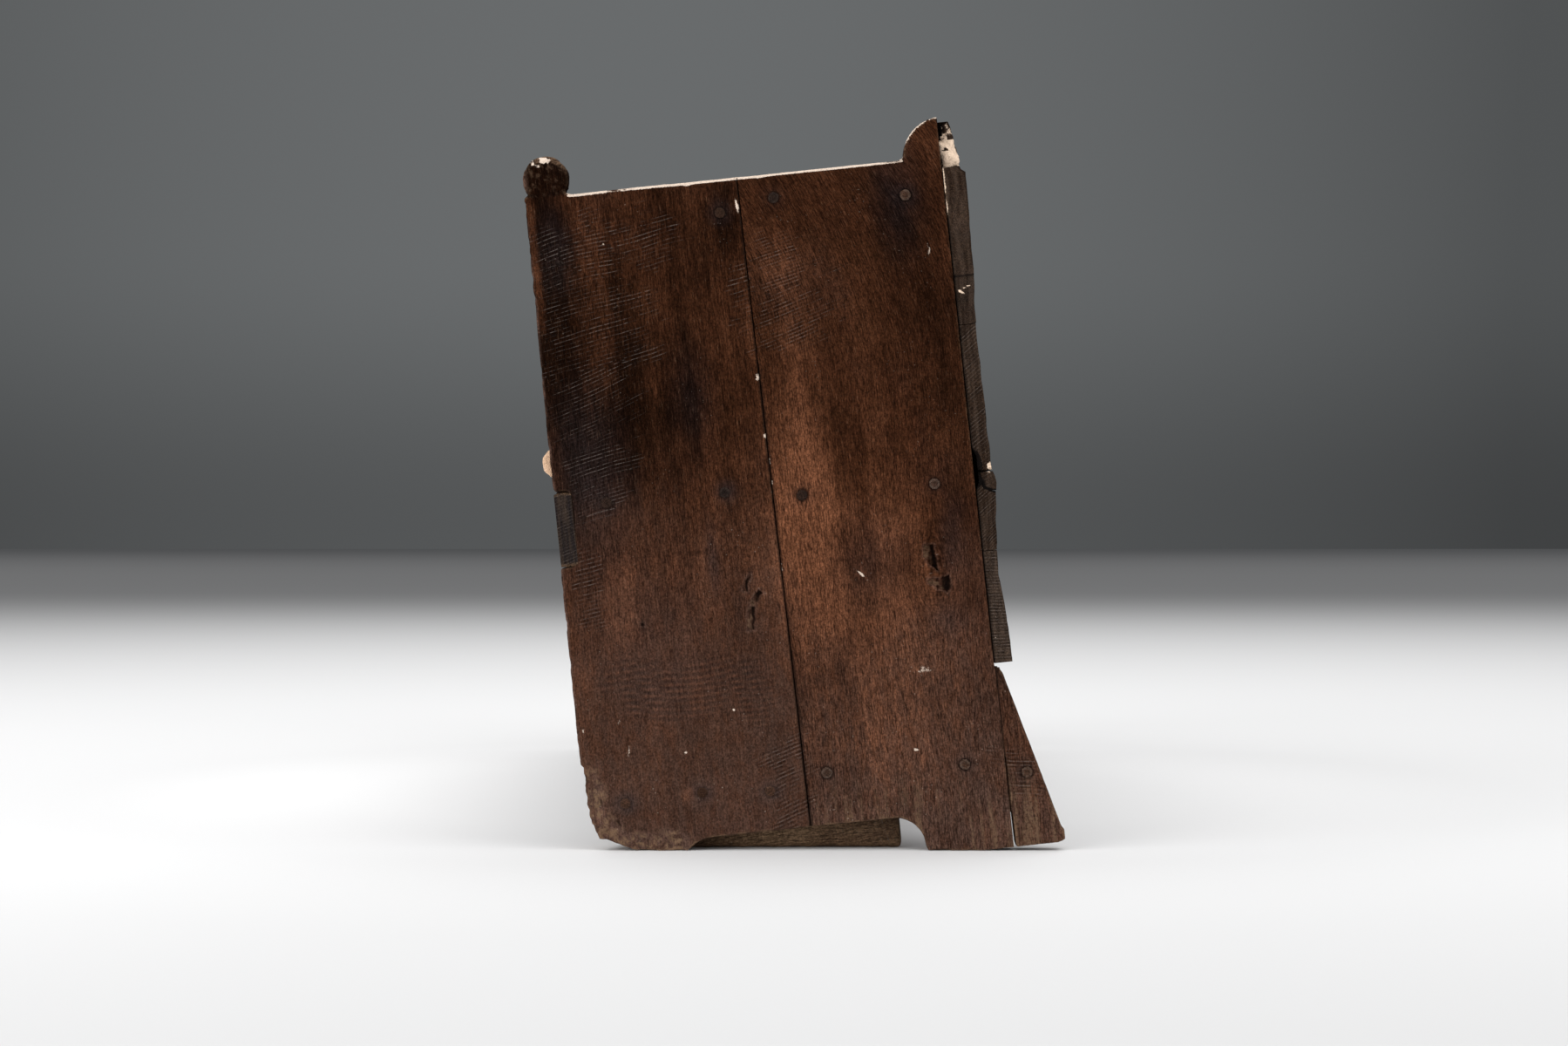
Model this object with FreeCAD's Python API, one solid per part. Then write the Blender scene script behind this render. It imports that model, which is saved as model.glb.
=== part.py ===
# Farmhouse bench: plank ends, a plank seat and a nailed plank back, leaning forward on worn feet.
import FreeCAD, Part
import math
import os
from FreeCAD import Vector

# All sizes are millimetres. The bench is drawn square: X runs along it with 0 at the middle,
# Y from the front edge of the ends to the rear, Z up from the soles as they were sawn.
# It is then turned by the lean and stood on the floor.

# Whole bench
LENGTH = 1600.0  # over the outer faces of the two ends
LEAN = 6.0  # degrees that the worn front feet tip the bench forward
SOLE_LINE = 41.0  # from an end's rear edge forward to where the floor meets the sawn sole

# Plank ends, two boards each
END_THICKNESS = 34.0
END_HEIGHT = 798.0
FRONT_BOARD_WIDTH = 247.0
REAR_BOARD_WIDTH = 233.0
BOARD_GAP = 1.2  # the joint between the two boards has opened
ARM_ROUND = 5.0  # worn edges along the top
TOE_RADIUS = 52.0  # worn front corner of the front foot
FOOT_WIDTH = 101.0
ARCH_HEIGHT = 47.0
ARCH_RADIUS = 36.0

# Finial on the front board and ear on the rear board
FINIAL_RADIUS = 26.0
FINIAL_RISE = 20.5  # centre above the top edge
FINIAL_ROUND = 11.0
NECK_WIDTH = 43.0
EAR_RADIUS = 44.0

# Heel board behind each end
HEEL_HEIGHT = 207.0
HEEL_FOOT = 62.0  # how far the heel reaches behind the end at the sole
HEEL_TIP = 6.0  # width of the heel's top
HEEL_GAP_TOP = 0.4
HEEL_GAP_FOOT = 3.2
HEEL_CORNER = 7.0

# Battens on the inside of each end
BATTEN_THICKNESS = 26.0
TOP_BATTEN_HEIGHT = 46.0
TOP_BATTEN_DROP = 14.0  # below the top edge of the end
TOP_BATTEN_FRONT = 64.0  # reach in front of the board joint
TOP_BATTEN_REAR = 14.0  # stops short of the rear edge
BEARER_HEIGHT = 90.0
FOOT_BATTEN_HEIGHT = 66.0
FOOT_BATTEN_BASE = 62.0
FOOT_BATTEN_FRONT = 20.0
FOOT_BATTEN_LOW_FRONT = 62.0  # between here and the next it reaches down behind the arch
FOOT_BATTEN_LOW_REAR = 126.0  # in front of the end's rear edge
FOOT_BATTEN_CLEARANCE = 3.0  # above the floor
FOOT_BATTEN_INSET = 3.0  # its rear end is sawn along the heel, this far inside its slope

# Seat
SEAT_HEIGHT = 510.0  # top of the seat above the sawn sole
SEAT_THICKNESS = 32.0
SEAT_OVERHANG = 12.0  # nose in front of the ends
SEAT_NOSE_ROUND = 14.5
SEAT_FRONT_WIDTH = 272.0
SEAT_JOINT_GAP = 1.0
SEAT_END_GAP = 0.5

# Rails and the middle bearer under the seat
RAIL_THICKNESS = 20.0
RAIL_HEIGHT = 105.0
RAIL_LAP_DROP = 19.0  # the rail's ends are cut down by this to lap into the ends
REAR_RAIL_THICKNESS = 38.0
REAR_RAIL_HEIGHT = 60.0
MIDDLE_BEARER_WIDTH = 44.0
MIDDLE_BEARER_HEIGHT = 66.0

# Back planks, from the bottom up
BACK_CLEARANCE = 5.0  # between the heels' tops and the lowest plank
BACK_THICKNESS = 20.0
LOWER_PLANK_TOP = 341.0  # above the sawn sole
NARROW_PLANK_HEIGHT = 90.0
MIDDLE_PLANK_HEIGHT = 169.0
UPPER_PLANK_HEIGHT = 188.0
CREST_HEIGHT = 46.0
CREST_TOP_THICKNESS = 14.0
PLANK_GAP = 0.8
BACK_BATTEN_WIDTH = 72.0
BACK_BATTEN_THICKNESS = 18.0
BACK_BATTEN_INSET = 16.0  # from the top and bottom of the four wide planks

# Old damage on the right end of the back
CREST_BREAK_LOW = 30.0
CREST_BREAK_HIGH = 7.0
SPLIT_LENGTH = 74.0
SPLIT_HEIGHT = 23.0
SPLIT_THICKNESS = 12.0
SPLIT_SLIP = 4.5  # how far the split corner stands out behind its plank
SPLIT_CRACK = 0.7

# Pegs, dowels and nails
PEG_RADIUS = 6.5
PEG_PROUD = 0.6
PEG_FIT = 0.1
DOWEL_RADIUS = 6.0
DOWEL_REACH = 40.0
SEAT_PEG_RADIUS = 5.5
SEAT_PEG_DEPTH = 30.0  # into what carries the seat
NAIL_RADIUS = 2.5
NAIL_FIT = 0.1
NAIL_HEAD_RADIUS = 7.0
NAIL_HEAD_TIP = 2.0
NAIL_HEAD_HEIGHT = 1.2
NAIL_BITE = 28.0  # into the second piece
BATTEN_NAIL_BITE = 14.0

# Where the pegs stand. Each row lists (edge measured from, distance behind that edge, height
# above or below the middle of its batten). The heights wander as hand-bored holes do.
FRONT, JOINT, REAR = "front", "joint", "rear"
TOP_PEGS = [(JOINT, -26.0, -2.0), (JOINT, 37.0, 9.0), (REAR, -46.0, -4.0)]
BEARER_PEGS = [(FRONT, 57.0, 9.0), (JOINT, -54.0, 6.0), (JOINT, 34.0, -6.0), (REAR, -47.0, -9.0)]
FOOT_PEGS = [
    (FRONT, 43.0, 1.0),
    (FRONT, 132.0, 4.0),
    (JOINT, -38.0, -2.0),
    (JOINT, 29.0, 12.0),
    (REAR, -46.0, 5.0),
    (REAR, 24.0, -11.0),
]
SEAT_PEG_EDGES = 40.0  # from a seat plank's edges to its pegs
REAR_RAIL_NAIL_PITCH = 300.0
REAR_RAIL_NAIL_DROP = 22.0  # below the underside of the seat
NAIL_EDGE_SHARE = 0.24  # of a plank's height, from its edges to its nails
SEAT_DOWEL_PITCH = 480.0

# Worked out from the sizes above
END_DEPTH = FRONT_BOARD_WIDTH + BOARD_GAP + REAR_BOARD_WIDTH
JOINT_Y = FRONT_BOARD_WIDTH + BOARD_GAP / 2
OUTER_X = LENGTH / 2
INNER_X = OUTER_X - END_THICKNESS
END_MIDDLE_X = OUTER_X - END_THICKNESS / 2
BATTEN_X = INNER_X - BATTEN_THICKNESS
BATTEN_MIDDLE_X = INNER_X - BATTEN_THICKNESS / 2
SEAT_BASE = SEAT_HEIGHT - SEAT_THICKNESS
TOP_BATTEN_TOP = END_HEIGHT - TOP_BATTEN_DROP
TOP_BATTEN_BASE = TOP_BATTEN_TOP - TOP_BATTEN_HEIGHT
BEARER_BASE = SEAT_BASE - BEARER_HEIGHT
FOOT_BATTEN_TOP = FOOT_BATTEN_BASE + FOOT_BATTEN_HEIGHT
SEAT_END_X = INNER_X - SEAT_END_GAP
SEAT_FRONT_Y = -SEAT_OVERHANG
SEAT_JOINT_Y = SEAT_FRONT_Y + SEAT_FRONT_WIDTH
BACK_Y = END_DEPTH
BACK_REAR_Y = BACK_Y + BACK_THICKNESS
BACK_BASE = HEEL_HEIGHT + BACK_CLEARANCE
LOWER_PLANK_HEIGHT = LOWER_PLANK_TOP - BACK_BASE
NARROW_BASE = LOWER_PLANK_TOP + PLANK_GAP
MIDDLE_BASE = NARROW_BASE + NARROW_PLANK_HEIGHT + PLANK_GAP
UPPER_BASE = MIDDLE_BASE + MIDDLE_PLANK_HEIGHT + PLANK_GAP
CREST_BASE = UPPER_BASE + UPPER_PLANK_HEIGHT + PLANK_GAP
REAR_RAIL_Y = END_DEPTH - REAR_RAIL_THICKNESS
SOLE_Y = END_DEPTH - SOLE_LINE
FAR = 10 * LENGTH  # larger than the bench, for cutting away


def block(x0, x1, y0, y1, z0, z1):
    """A box between two corners."""
    return Part.makeBox(x1 - x0, y1 - y0, z1 - z0, Vector(x0, y0, z0))


def plate(outline, x0, x1):
    """A board lying across X, from an outline of (y, z) points."""
    points = [Vector(x0, y, z) for y, z in outline]
    face = Part.Face(Part.makePolygon(points + points[:1]))
    return face.extrude(Vector(x1 - x0, 0, 0))


def rod(radius, start, end):
    """A round rod between two points."""
    along = end - start
    return Part.makeCylinder(radius, along.Length, start, along)


def edges_along(shape, axis, test):
    """The straight edges of a shape that run along an axis and whose middle passes a test."""
    found = []
    for edge in shape.Edges:
        if isinstance(edge.Curve, Part.Line):
            run = edge.Vertexes[-1].Point - edge.Vertexes[0].Point
            if run.cross(axis).Length < 1e-6 * run.Length and test(edge.CenterOfMass):
                found.append(edge)
    return found


def rounded(shape, radius, axis, test):
    """The shape with the edges that edges_along finds rounded over."""
    return shape.makeFillet(radius, edges_along(shape, axis, test))


def close(a, b):
    """True where two lengths are the same."""
    return abs(a - b) < 1e-6


ALONG_X = Vector(1, 0, 0)
ALONG_Y = Vector(0, 1, 0)


# The ends

def floor_height(y):
    """The height of the floor line, as it lies across the square-drawn bench."""
    return (SOLE_Y - y) * math.tan(math.radians(LEAN))


def floor_below():
    """Everything under the floor, as it lies across the square-drawn bench."""
    ground = block(-FAR, FAR, -FAR, FAR, -FAR, 0)
    ground.rotate(Vector(0, SOLE_Y, 0), ALONG_X, -LEAN)
    return ground


def arch():
    """The cut between the feet of an end, with round upper corners."""
    front, rear = FOOT_WIDTH, END_DEPTH - FOOT_WIDTH
    cut = block(INNER_X, OUTER_X, front, rear, -ARCH_HEIGHT, ARCH_HEIGHT)
    return rounded(cut, ARCH_RADIUS, ALONG_X, lambda p: close(p.z, ARCH_HEIGHT))


def front_board():
    """The front board of an end, with its finial, the rail's notch and the worn foot."""
    board = block(INNER_X, OUTER_X, 0, FRONT_BOARD_WIDTH, 0, END_HEIGHT)
    board = rounded(board, ARM_ROUND, ALONG_Y, lambda p: close(p.z, END_HEIGHT))
    board = board.cut([arch(), floor_below(), rail_notch()])
    toe_z = floor_height(0)
    board = rounded(board, TOE_RADIUS, ALONG_X, lambda p: close(p.y, 0) and close(p.z, toe_z))
    return board.fuse(finial()).removeSplitter()


def finial():
    """A round knob on a short neck, as thick as the board."""
    middle = END_HEIGHT + FINIAL_RISE
    knob = Part.makeCylinder(FINIAL_RADIUS, END_THICKNESS, Vector(INNER_X, FINIAL_RADIUS, middle), ALONG_X)
    knob = knob.makeFillet(FINIAL_ROUND, [e for e in knob.Edges if isinstance(e.Curve, Part.Circle)])
    sides = (FINIAL_RADIUS - NECK_WIDTH / 2, FINIAL_RADIUS + NECK_WIDTH / 2)
    neck = block(INNER_X, OUTER_X, *sides, END_HEIGHT - ARM_ROUND, END_HEIGHT + ARM_ROUND)
    return knob.fuse(neck)


def rail_notch():
    """The notch in the front edge of an end that takes the front rail's lapped end."""
    base = SEAT_BASE - RAIL_HEIGHT
    return block(INNER_X, OUTER_X, 0, RAIL_THICKNESS, base, SEAT_BASE - RAIL_LAP_DROP)


def rear_board():
    """The rear board of an end, with the ear that carries the crest board."""
    board = block(INNER_X, OUTER_X, JOINT_Y + BOARD_GAP / 2, END_DEPTH, 0, END_HEIGHT)
    board = rounded(board, ARM_ROUND, ALONG_Y, lambda p: close(p.z, END_HEIGHT))
    board = board.cut([arch(), floor_below()])
    corner = Vector(INNER_X, END_DEPTH, END_HEIGHT)
    ear = Part.makeCylinder(EAR_RADIUS, END_THICKNESS, corner, ALONG_X)
    reach = 2 * EAR_RADIUS
    kept = block(INNER_X, OUTER_X, END_DEPTH - reach, END_DEPTH, END_HEIGHT - ARM_ROUND, END_HEIGHT + reach)
    return board.fuse(ear.common(kept)).removeSplitter()


def heel_edge(z):
    """How far rearward the heel's sloping edge lies at a height."""
    foot = END_DEPTH + HEEL_FOOT
    tip = END_DEPTH + HEEL_GAP_TOP + HEEL_TIP
    return foot + (tip - foot) * z / HEEL_HEIGHT


def heel_board():
    """The tapering board behind an end that keeps the bench from tipping back."""
    outline = [
        (END_DEPTH + HEEL_GAP_FOOT, 0),
        (heel_edge(0), 0),
        (heel_edge(HEEL_HEIGHT), HEEL_HEIGHT),
        (END_DEPTH + HEEL_GAP_TOP, HEEL_HEIGHT),
    ]
    board = plate(outline, INNER_X, OUTER_X)
    board = rounded(board, HEEL_CORNER, ALONG_X, lambda p: close(p.y, heel_edge(0)))
    return board.cut(floor_below())


def foot_batten():
    """The lowest batten, which holds the heel and closes most of the arch from inside."""
    low_front, low_rear = FOOT_BATTEN_LOW_FRONT, END_DEPTH - FOOT_BATTEN_LOW_REAR
    outline = [
        (FOOT_BATTEN_FRONT, FOOT_BATTEN_BASE),
        (low_front, floor_height(low_front) + FOOT_BATTEN_CLEARANCE),
        (low_rear, floor_height(low_rear) + FOOT_BATTEN_CLEARANCE),
        (low_rear, FOOT_BATTEN_BASE),
        (heel_edge(FOOT_BATTEN_BASE) - FOOT_BATTEN_INSET, FOOT_BATTEN_BASE),
        (heel_edge(FOOT_BATTEN_TOP) - FOOT_BATTEN_INSET, FOOT_BATTEN_TOP),
        (FOOT_BATTEN_FRONT, FOOT_BATTEN_TOP),
    ]
    return plate(outline, BATTEN_X, INNER_X)


def end_battens():
    """The three battens pegged across the inside of an end."""
    top = (JOINT_Y - TOP_BATTEN_FRONT, END_DEPTH - TOP_BATTEN_REAR, TOP_BATTEN_BASE, TOP_BATTEN_TOP)
    bearer = (RAIL_THICKNESS, END_DEPTH, BEARER_BASE, SEAT_BASE)
    return {
        "top_batten": block(BATTEN_X, INNER_X, *top),
        "seat_bearer": block(BATTEN_X, INNER_X, *bearer),
        "foot_batten": foot_batten(),
    }


def peg_places():
    """(y, z) of every peg in an end, from the three rows."""
    edge_y = {FRONT: 0.0, JOINT: JOINT_Y, REAR: END_DEPTH}
    rows = [
        (TOP_PEGS, (TOP_BATTEN_BASE + TOP_BATTEN_TOP) / 2),
        (BEARER_PEGS, (BEARER_BASE + SEAT_BASE) / 2),
        (FOOT_PEGS, (FOOT_BATTEN_BASE + FOOT_BATTEN_TOP) / 2),
    ]
    return [(edge_y[edge] + dy, middle + dz) for pegs, middle in rows for edge, dy, dz in pegs]


def end_pegs(radius):
    """The pegs through an end into its battens, or their holes."""
    ends = (OUTER_X + PEG_PROUD, BATTEN_X)
    return [rod(radius, Vector(ends[0], y, z), Vector(ends[1], y, z)) for y, z in peg_places()]


def dowel_heights():
    """One dowel midway under the seat bearer and two above the seat, clear of the three battens."""
    clear = TOP_BATTEN_BASE - SEAT_BASE
    return [(FOOT_BATTEN_TOP + BEARER_BASE) / 2, SEAT_BASE + clear / 3, SEAT_BASE + 2 * clear / 3]


def end_dowels(radius):
    """The hidden dowels across the joint between an end's two boards, or their holes."""
    front, rear = JOINT_Y - DOWEL_REACH, JOINT_Y + DOWEL_REACH
    x = END_MIDDLE_X
    return [rod(radius, Vector(x, front, z), Vector(x, rear, z)) for z in dowel_heights()]


def right_end():
    """The pieces of the right end, by name."""
    boards = {"front_board": front_board(), "rear_board": rear_board(), "heel_board": heel_board()}
    return {**boards, **end_battens()}


# The seat and what carries it

def seat_front_plank():
    """The front plank of the seat, with its rounded nose."""
    plank = block(-SEAT_END_X, SEAT_END_X, SEAT_FRONT_Y, SEAT_JOINT_Y, SEAT_BASE, SEAT_HEIGHT)
    return rounded(plank, SEAT_NOSE_ROUND, ALONG_X, lambda p: close(p.y, SEAT_FRONT_Y))


def seat_rear_plank():
    """The rear plank of the seat, up against the back."""
    return block(-SEAT_END_X, SEAT_END_X, SEAT_JOINT_Y + SEAT_JOINT_GAP, BACK_Y, SEAT_BASE, SEAT_HEIGHT)


def front_rail():
    """The rail under the nose, its ends cut down and lapped into the front edges of the ends."""
    base = SEAT_BASE - RAIL_HEIGHT
    middle = block(-INNER_X, INNER_X, 0, RAIL_THICKNESS, base, SEAT_BASE)
    laps = block(-OUTER_X, OUTER_X, 0, RAIL_THICKNESS, base, SEAT_BASE - RAIL_LAP_DROP)
    return middle.fuse(laps).removeSplitter()


def rear_rail():
    """The ledge along the back planks that carries the rear of the seat."""
    return block(-BATTEN_X, BATTEN_X, REAR_RAIL_Y, BACK_Y, SEAT_BASE - REAR_RAIL_HEIGHT, SEAT_BASE)


def middle_bearer():
    """The cross piece under the middle of the seat, from rail to rail."""
    half = MIDDLE_BEARER_WIDTH / 2
    return block(-half, half, RAIL_THICKNESS, REAR_RAIL_Y, SEAT_BASE - MIDDLE_BEARER_HEIGHT, SEAT_BASE)


def seat_pegs(radius):
    """The pegs down through the seat planks into the three bearers, or their holes."""
    rows = [
        SEAT_FRONT_Y + SEAT_OVERHANG + SEAT_PEG_EDGES,
        SEAT_JOINT_Y - SEAT_PEG_EDGES,
        SEAT_JOINT_Y + SEAT_PEG_EDGES,
        REAR_RAIL_Y - SEAT_PEG_EDGES,
    ]
    base = SEAT_BASE - SEAT_PEG_DEPTH
    return [
        rod(radius, Vector(x, y, SEAT_HEIGHT), Vector(x, y, base))
        for x in (-BATTEN_MIDDLE_X, 0, BATTEN_MIDDLE_X)
        for y in rows
    ]


def seat_dowels(radius):
    """The hidden dowels across the joint between the seat planks, or their holes."""
    joint = SEAT_JOINT_Y + SEAT_JOINT_GAP / 2
    level = SEAT_BASE + SEAT_THICKNESS / 2
    return [
        rod(radius, Vector(x, joint - DOWEL_REACH, level), Vector(x, joint + DOWEL_REACH, level))
        for x in (-SEAT_DOWEL_PITCH, -SEAT_DOWEL_PITCH / 4, SEAT_DOWEL_PITCH / 4, SEAT_DOWEL_PITCH)
    ]


# The back

def back_plank(base, height):
    """A plank of the back, running over the rear edges of both ends."""
    return block(-OUTER_X, OUTER_X, BACK_Y, BACK_REAR_Y, base, base + height)


def crest_board():
    """The top board of the back, thinner at its top, with its right end broken off."""
    top = CREST_BASE + CREST_HEIGHT
    outline = [
        (BACK_Y, CREST_BASE),
        (BACK_REAR_Y, CREST_BASE),
        (BACK_Y + CREST_TOP_THICKNESS, top),
        (BACK_Y, top),
    ]
    board = plate(outline, -OUTER_X, OUTER_X)
    lost = [
        Vector(OUTER_X - CREST_BREAK_LOW, BACK_Y, CREST_BASE),
        Vector(OUTER_X, BACK_Y, CREST_BASE),
        Vector(OUTER_X, BACK_Y, top),
        Vector(OUTER_X - CREST_BREAK_HIGH, BACK_Y, top),
    ]
    return board.cut(Part.Face(Part.makePolygon(lost + lost[:1])).extrude(Vector(0, BACK_THICKNESS, 0)))


def split_corner(crack):
    """The upper rear corner of the narrow plank's right end, less a crack at its underside and face."""
    top = NARROW_BASE + NARROW_PLANK_HEIGHT
    front = BACK_REAR_Y - SPLIT_THICKNESS + crack
    base = top - SPLIT_HEIGHT + crack
    return block(OUTER_X - SPLIT_LENGTH, OUTER_X, front, BACK_REAR_Y, base, top)


def back_planks():
    """The planks of the back, by name, with the piece that has split off one of them."""
    splinter = split_corner(SPLIT_CRACK)
    splinter.translate(Vector(0, SPLIT_SLIP, 0))
    return {
        "lower_back_plank": back_plank(BACK_BASE, LOWER_PLANK_HEIGHT),
        "narrow_back_plank": back_plank(NARROW_BASE, NARROW_PLANK_HEIGHT).cut(split_corner(0)),
        "split_corner": splinter,
        "middle_back_plank": back_plank(MIDDLE_BASE, MIDDLE_PLANK_HEIGHT),
        "upper_back_plank": back_plank(UPPER_BASE, UPPER_PLANK_HEIGHT),
        "crest_board": crest_board(),
    }


def back_batten():
    """The upright batten behind the middle of the back."""
    half = BACK_BATTEN_WIDTH / 2
    base = BACK_BASE + BACK_BATTEN_INSET
    top = UPPER_BASE + UPPER_PLANK_HEIGHT - BACK_BATTEN_INSET
    return block(-half, half, BACK_REAR_Y, BACK_REAR_Y + BACK_BATTEN_THICKNESS, base, top)


# Nails

def nail(radius, place, way, depth):
    """A forged nail driven from a face: a round shank, and a low head unless it is a hole."""
    shank = rod(radius, place, place + way * depth)
    if radius > NAIL_RADIUS:
        return shank
    head = Part.makeCone(NAIL_HEAD_RADIUS, NAIL_HEAD_TIP, NAIL_HEAD_HEIGHT, place, -way)
    return shank.fuse(head).removeSplitter()


def plank_nail_heights(base, height):
    """The two heights at which a back plank is nailed."""
    return (base + NAIL_EDGE_SHARE * height, base + (1 - NAIL_EDGE_SHARE) * height)


def wide_planks():
    """(base, height) of the four wide planks of the back."""
    return [
        (BACK_BASE, LOWER_PLANK_HEIGHT),
        (NARROW_BASE, NARROW_PLANK_HEIGHT),
        (MIDDLE_BASE, MIDDLE_PLANK_HEIGHT),
        (UPPER_BASE, UPPER_PLANK_HEIGHT),
    ]


def back_nails(radius):
    """The nails through the back planks into the rear edges of the ends, or their holes."""
    depth = BACK_THICKNESS + NAIL_BITE
    heights = [z for plank in wide_planks() for z in plank_nail_heights(*plank)]
    places = [Vector(x, BACK_REAR_Y, z) for x in (-END_MIDDLE_X, END_MIDDLE_X) for z in heights]
    return [nail(radius, place, -ALONG_Y, depth) for place in places if not in_split(place)]


def in_split(place):
    """True where the split corner has taken a nail with it."""
    top = NARROW_BASE + NARROW_PLANK_HEIGHT
    return place.x > OUTER_X - SPLIT_LENGTH and top - SPLIT_HEIGHT - NAIL_HEAD_RADIUS < place.z < top


def crest_nails(radius):
    """The nails through the crest board into the ears, or their holes."""
    level = CREST_BASE + CREST_HEIGHT / 2
    face = BACK_Y + (BACK_THICKNESS + CREST_TOP_THICKNESS) / 2
    slope = math.atan2(BACK_THICKNESS - CREST_TOP_THICKNESS, CREST_HEIGHT)
    way = Vector(0, -math.cos(slope), -math.sin(slope))
    left = Vector(-END_MIDDLE_X, face, level)
    return [nail(radius, left, way, CREST_TOP_THICKNESS + EAR_RADIUS / 2)]


def batten_nails(radius):
    """The nails through the back batten into each plank, or their holes."""
    depth = BACK_BATTEN_THICKNESS + BATTEN_NAIL_BITE
    face = BACK_REAR_Y + BACK_BATTEN_THICKNESS
    side = BACK_BATTEN_WIDTH / 4
    return [
        nail(radius, Vector(x, face, z), -ALONG_Y, depth)
        for plank in wide_planks()
        for x, z in zip((-side, side), plank_nail_heights(*plank))
    ]


def rail_nails(radius):
    """The nails through the front rail into the ends and the middle bearer, or their holes."""
    depth = RAIL_THICKNESS + NAIL_BITE
    base = SEAT_BASE - RAIL_HEIGHT
    lap = plank_nail_heights(base, RAIL_HEIGHT - RAIL_LAP_DROP)
    bearer = plank_nail_heights(SEAT_BASE - MIDDLE_BEARER_HEIGHT, MIDDLE_BEARER_HEIGHT)
    side = MIDDLE_BEARER_WIDTH / 4
    places = [(x, z) for x in (-END_MIDDLE_X, END_MIDDLE_X) for z in lap] + list(zip((-side, side), bearer))
    return [nail(radius, Vector(x, 0, z), ALONG_Y, depth) for x, z in places]


def rear_rail_nails(radius):
    """The nails through the back into the rear rail, or their holes."""
    depth = BACK_THICKNESS + REAR_RAIL_THICKNESS / 2
    level = SEAT_BASE - REAR_RAIL_NAIL_DROP
    places = [Vector(step * REAR_RAIL_NAIL_PITCH, BACK_REAR_Y, level) for step in (-2, -1, 1, 2)]
    return [nail(radius, place, -ALONG_Y, depth) for place in places]


# Putting it together

def mirrored(shape):
    """The same piece on the left end."""
    return shape.mirror(Vector(0, 0, 0), ALONG_X)


def wooden_pieces():
    """Every board, plank, rail and batten, by name, before it is bored."""
    pieces = {f"right_{name}": shape for name, shape in right_end().items()}
    pieces.update({f"left_{name}": mirrored(shape) for name, shape in right_end().items()})
    pieces.update(back_planks())
    pieces["seat_front_plank"] = seat_front_plank()
    pieces["seat_rear_plank"] = seat_rear_plank()
    pieces["front_rail"] = front_rail()
    pieces["rear_rail"] = rear_rail()
    pieces["middle_bearer"] = middle_bearer()
    pieces["back_batten"] = back_batten()
    return pieces


def fasteners(peg_fit, nail_fit):
    """Every peg, dowel and nail, by name of its group. With fits above 0, their holes."""
    pegs = end_pegs(PEG_RADIUS + peg_fit)
    dowels = end_dowels(DOWEL_RADIUS + peg_fit)
    nail_radius = NAIL_RADIUS + nail_fit
    return {
        "right_end_pegs": pegs,
        "left_end_pegs": [mirrored(peg) for peg in pegs],
        "right_end_dowels": dowels,
        "left_end_dowels": [mirrored(dowel) for dowel in dowels],
        "seat_pegs": seat_pegs(SEAT_PEG_RADIUS + peg_fit),
        "seat_dowels": seat_dowels(DOWEL_RADIUS + peg_fit),
        "back_nails": back_nails(nail_radius) + crest_nails(nail_radius),
        "back_batten_nails": batten_nails(nail_radius),
        "front_rail_nails": rail_nails(nail_radius),
        "rear_rail_nails": rear_rail_nails(nail_radius),
    }


def bored(pieces):
    """The wooden pieces with a hole for each peg, dowel and nail that passes into them."""
    holes = [hole for group in fasteners(PEG_FIT, NAIL_FIT).values() for hole in group]
    done = {}
    for name, shape in pieces.items():
        near = [hole for hole in holes if shape.BoundBox.intersect(hole.BoundBox)]
        done[name] = shape.cut(near) if near else shape
    return done


def stood_on_floor(pieces):
    """The pieces turned by the lean, with the floor at Z 0 and the bench centred over the origin."""
    for shape in pieces.values():
        shape.rotate(Vector(0, SOLE_Y, 0), ALONG_X, LEAN)
    extent = Part.makeCompound(list(pieces.values())).optimalBoundingBox(False)
    for shape in pieces.values():
        shape.translate(Vector(-extent.Center.x, -extent.Center.y, -extent.ZMin))
    return pieces


def main():
    pieces = bored(wooden_pieces())
    pieces.update({name: Part.makeCompound(group) for name, group in fasteners(0, 0).items()})
    os.makedirs("parts", exist_ok=True)
    for name, shape in stood_on_floor(pieces).items():
        shape.exportStep(f"parts/{name}.step")


main()
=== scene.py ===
# Looks of the farmhouse bench: every board weathered from its solid, aged oak, floor, light and camera.
import math
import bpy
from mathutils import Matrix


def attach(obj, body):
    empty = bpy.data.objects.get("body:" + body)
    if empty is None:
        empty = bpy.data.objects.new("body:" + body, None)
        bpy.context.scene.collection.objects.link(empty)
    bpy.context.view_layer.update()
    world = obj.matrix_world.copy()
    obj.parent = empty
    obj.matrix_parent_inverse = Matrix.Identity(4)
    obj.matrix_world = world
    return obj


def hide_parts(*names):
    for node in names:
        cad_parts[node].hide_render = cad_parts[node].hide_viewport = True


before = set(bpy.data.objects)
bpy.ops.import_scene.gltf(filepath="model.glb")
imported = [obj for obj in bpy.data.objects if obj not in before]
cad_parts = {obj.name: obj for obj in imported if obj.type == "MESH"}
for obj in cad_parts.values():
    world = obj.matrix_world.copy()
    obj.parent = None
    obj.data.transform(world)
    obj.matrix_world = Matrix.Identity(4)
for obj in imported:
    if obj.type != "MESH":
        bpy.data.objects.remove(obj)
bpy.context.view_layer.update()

from types import SimpleNamespace

import bmesh
import bpy
import numpy as np
from mathutils import Matrix, Vector

# The bench leans. Its boards are weathered in their own square frame: X along the bench, Y from the
# front edge of the ends to the rear, Z up from the sawn soles, in metres.
LEAN = math.radians(6.0)
MM = 0.001
X, Y, Z = 0, 1, 2


def turned(points, angle):
    """Points turned about the X axis."""
    c, s = math.cos(angle), math.sin(angle)
    x, y, z = np.asarray(points, float).T
    return np.column_stack((x, y * c - z * s, y * s + z * c))


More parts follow.
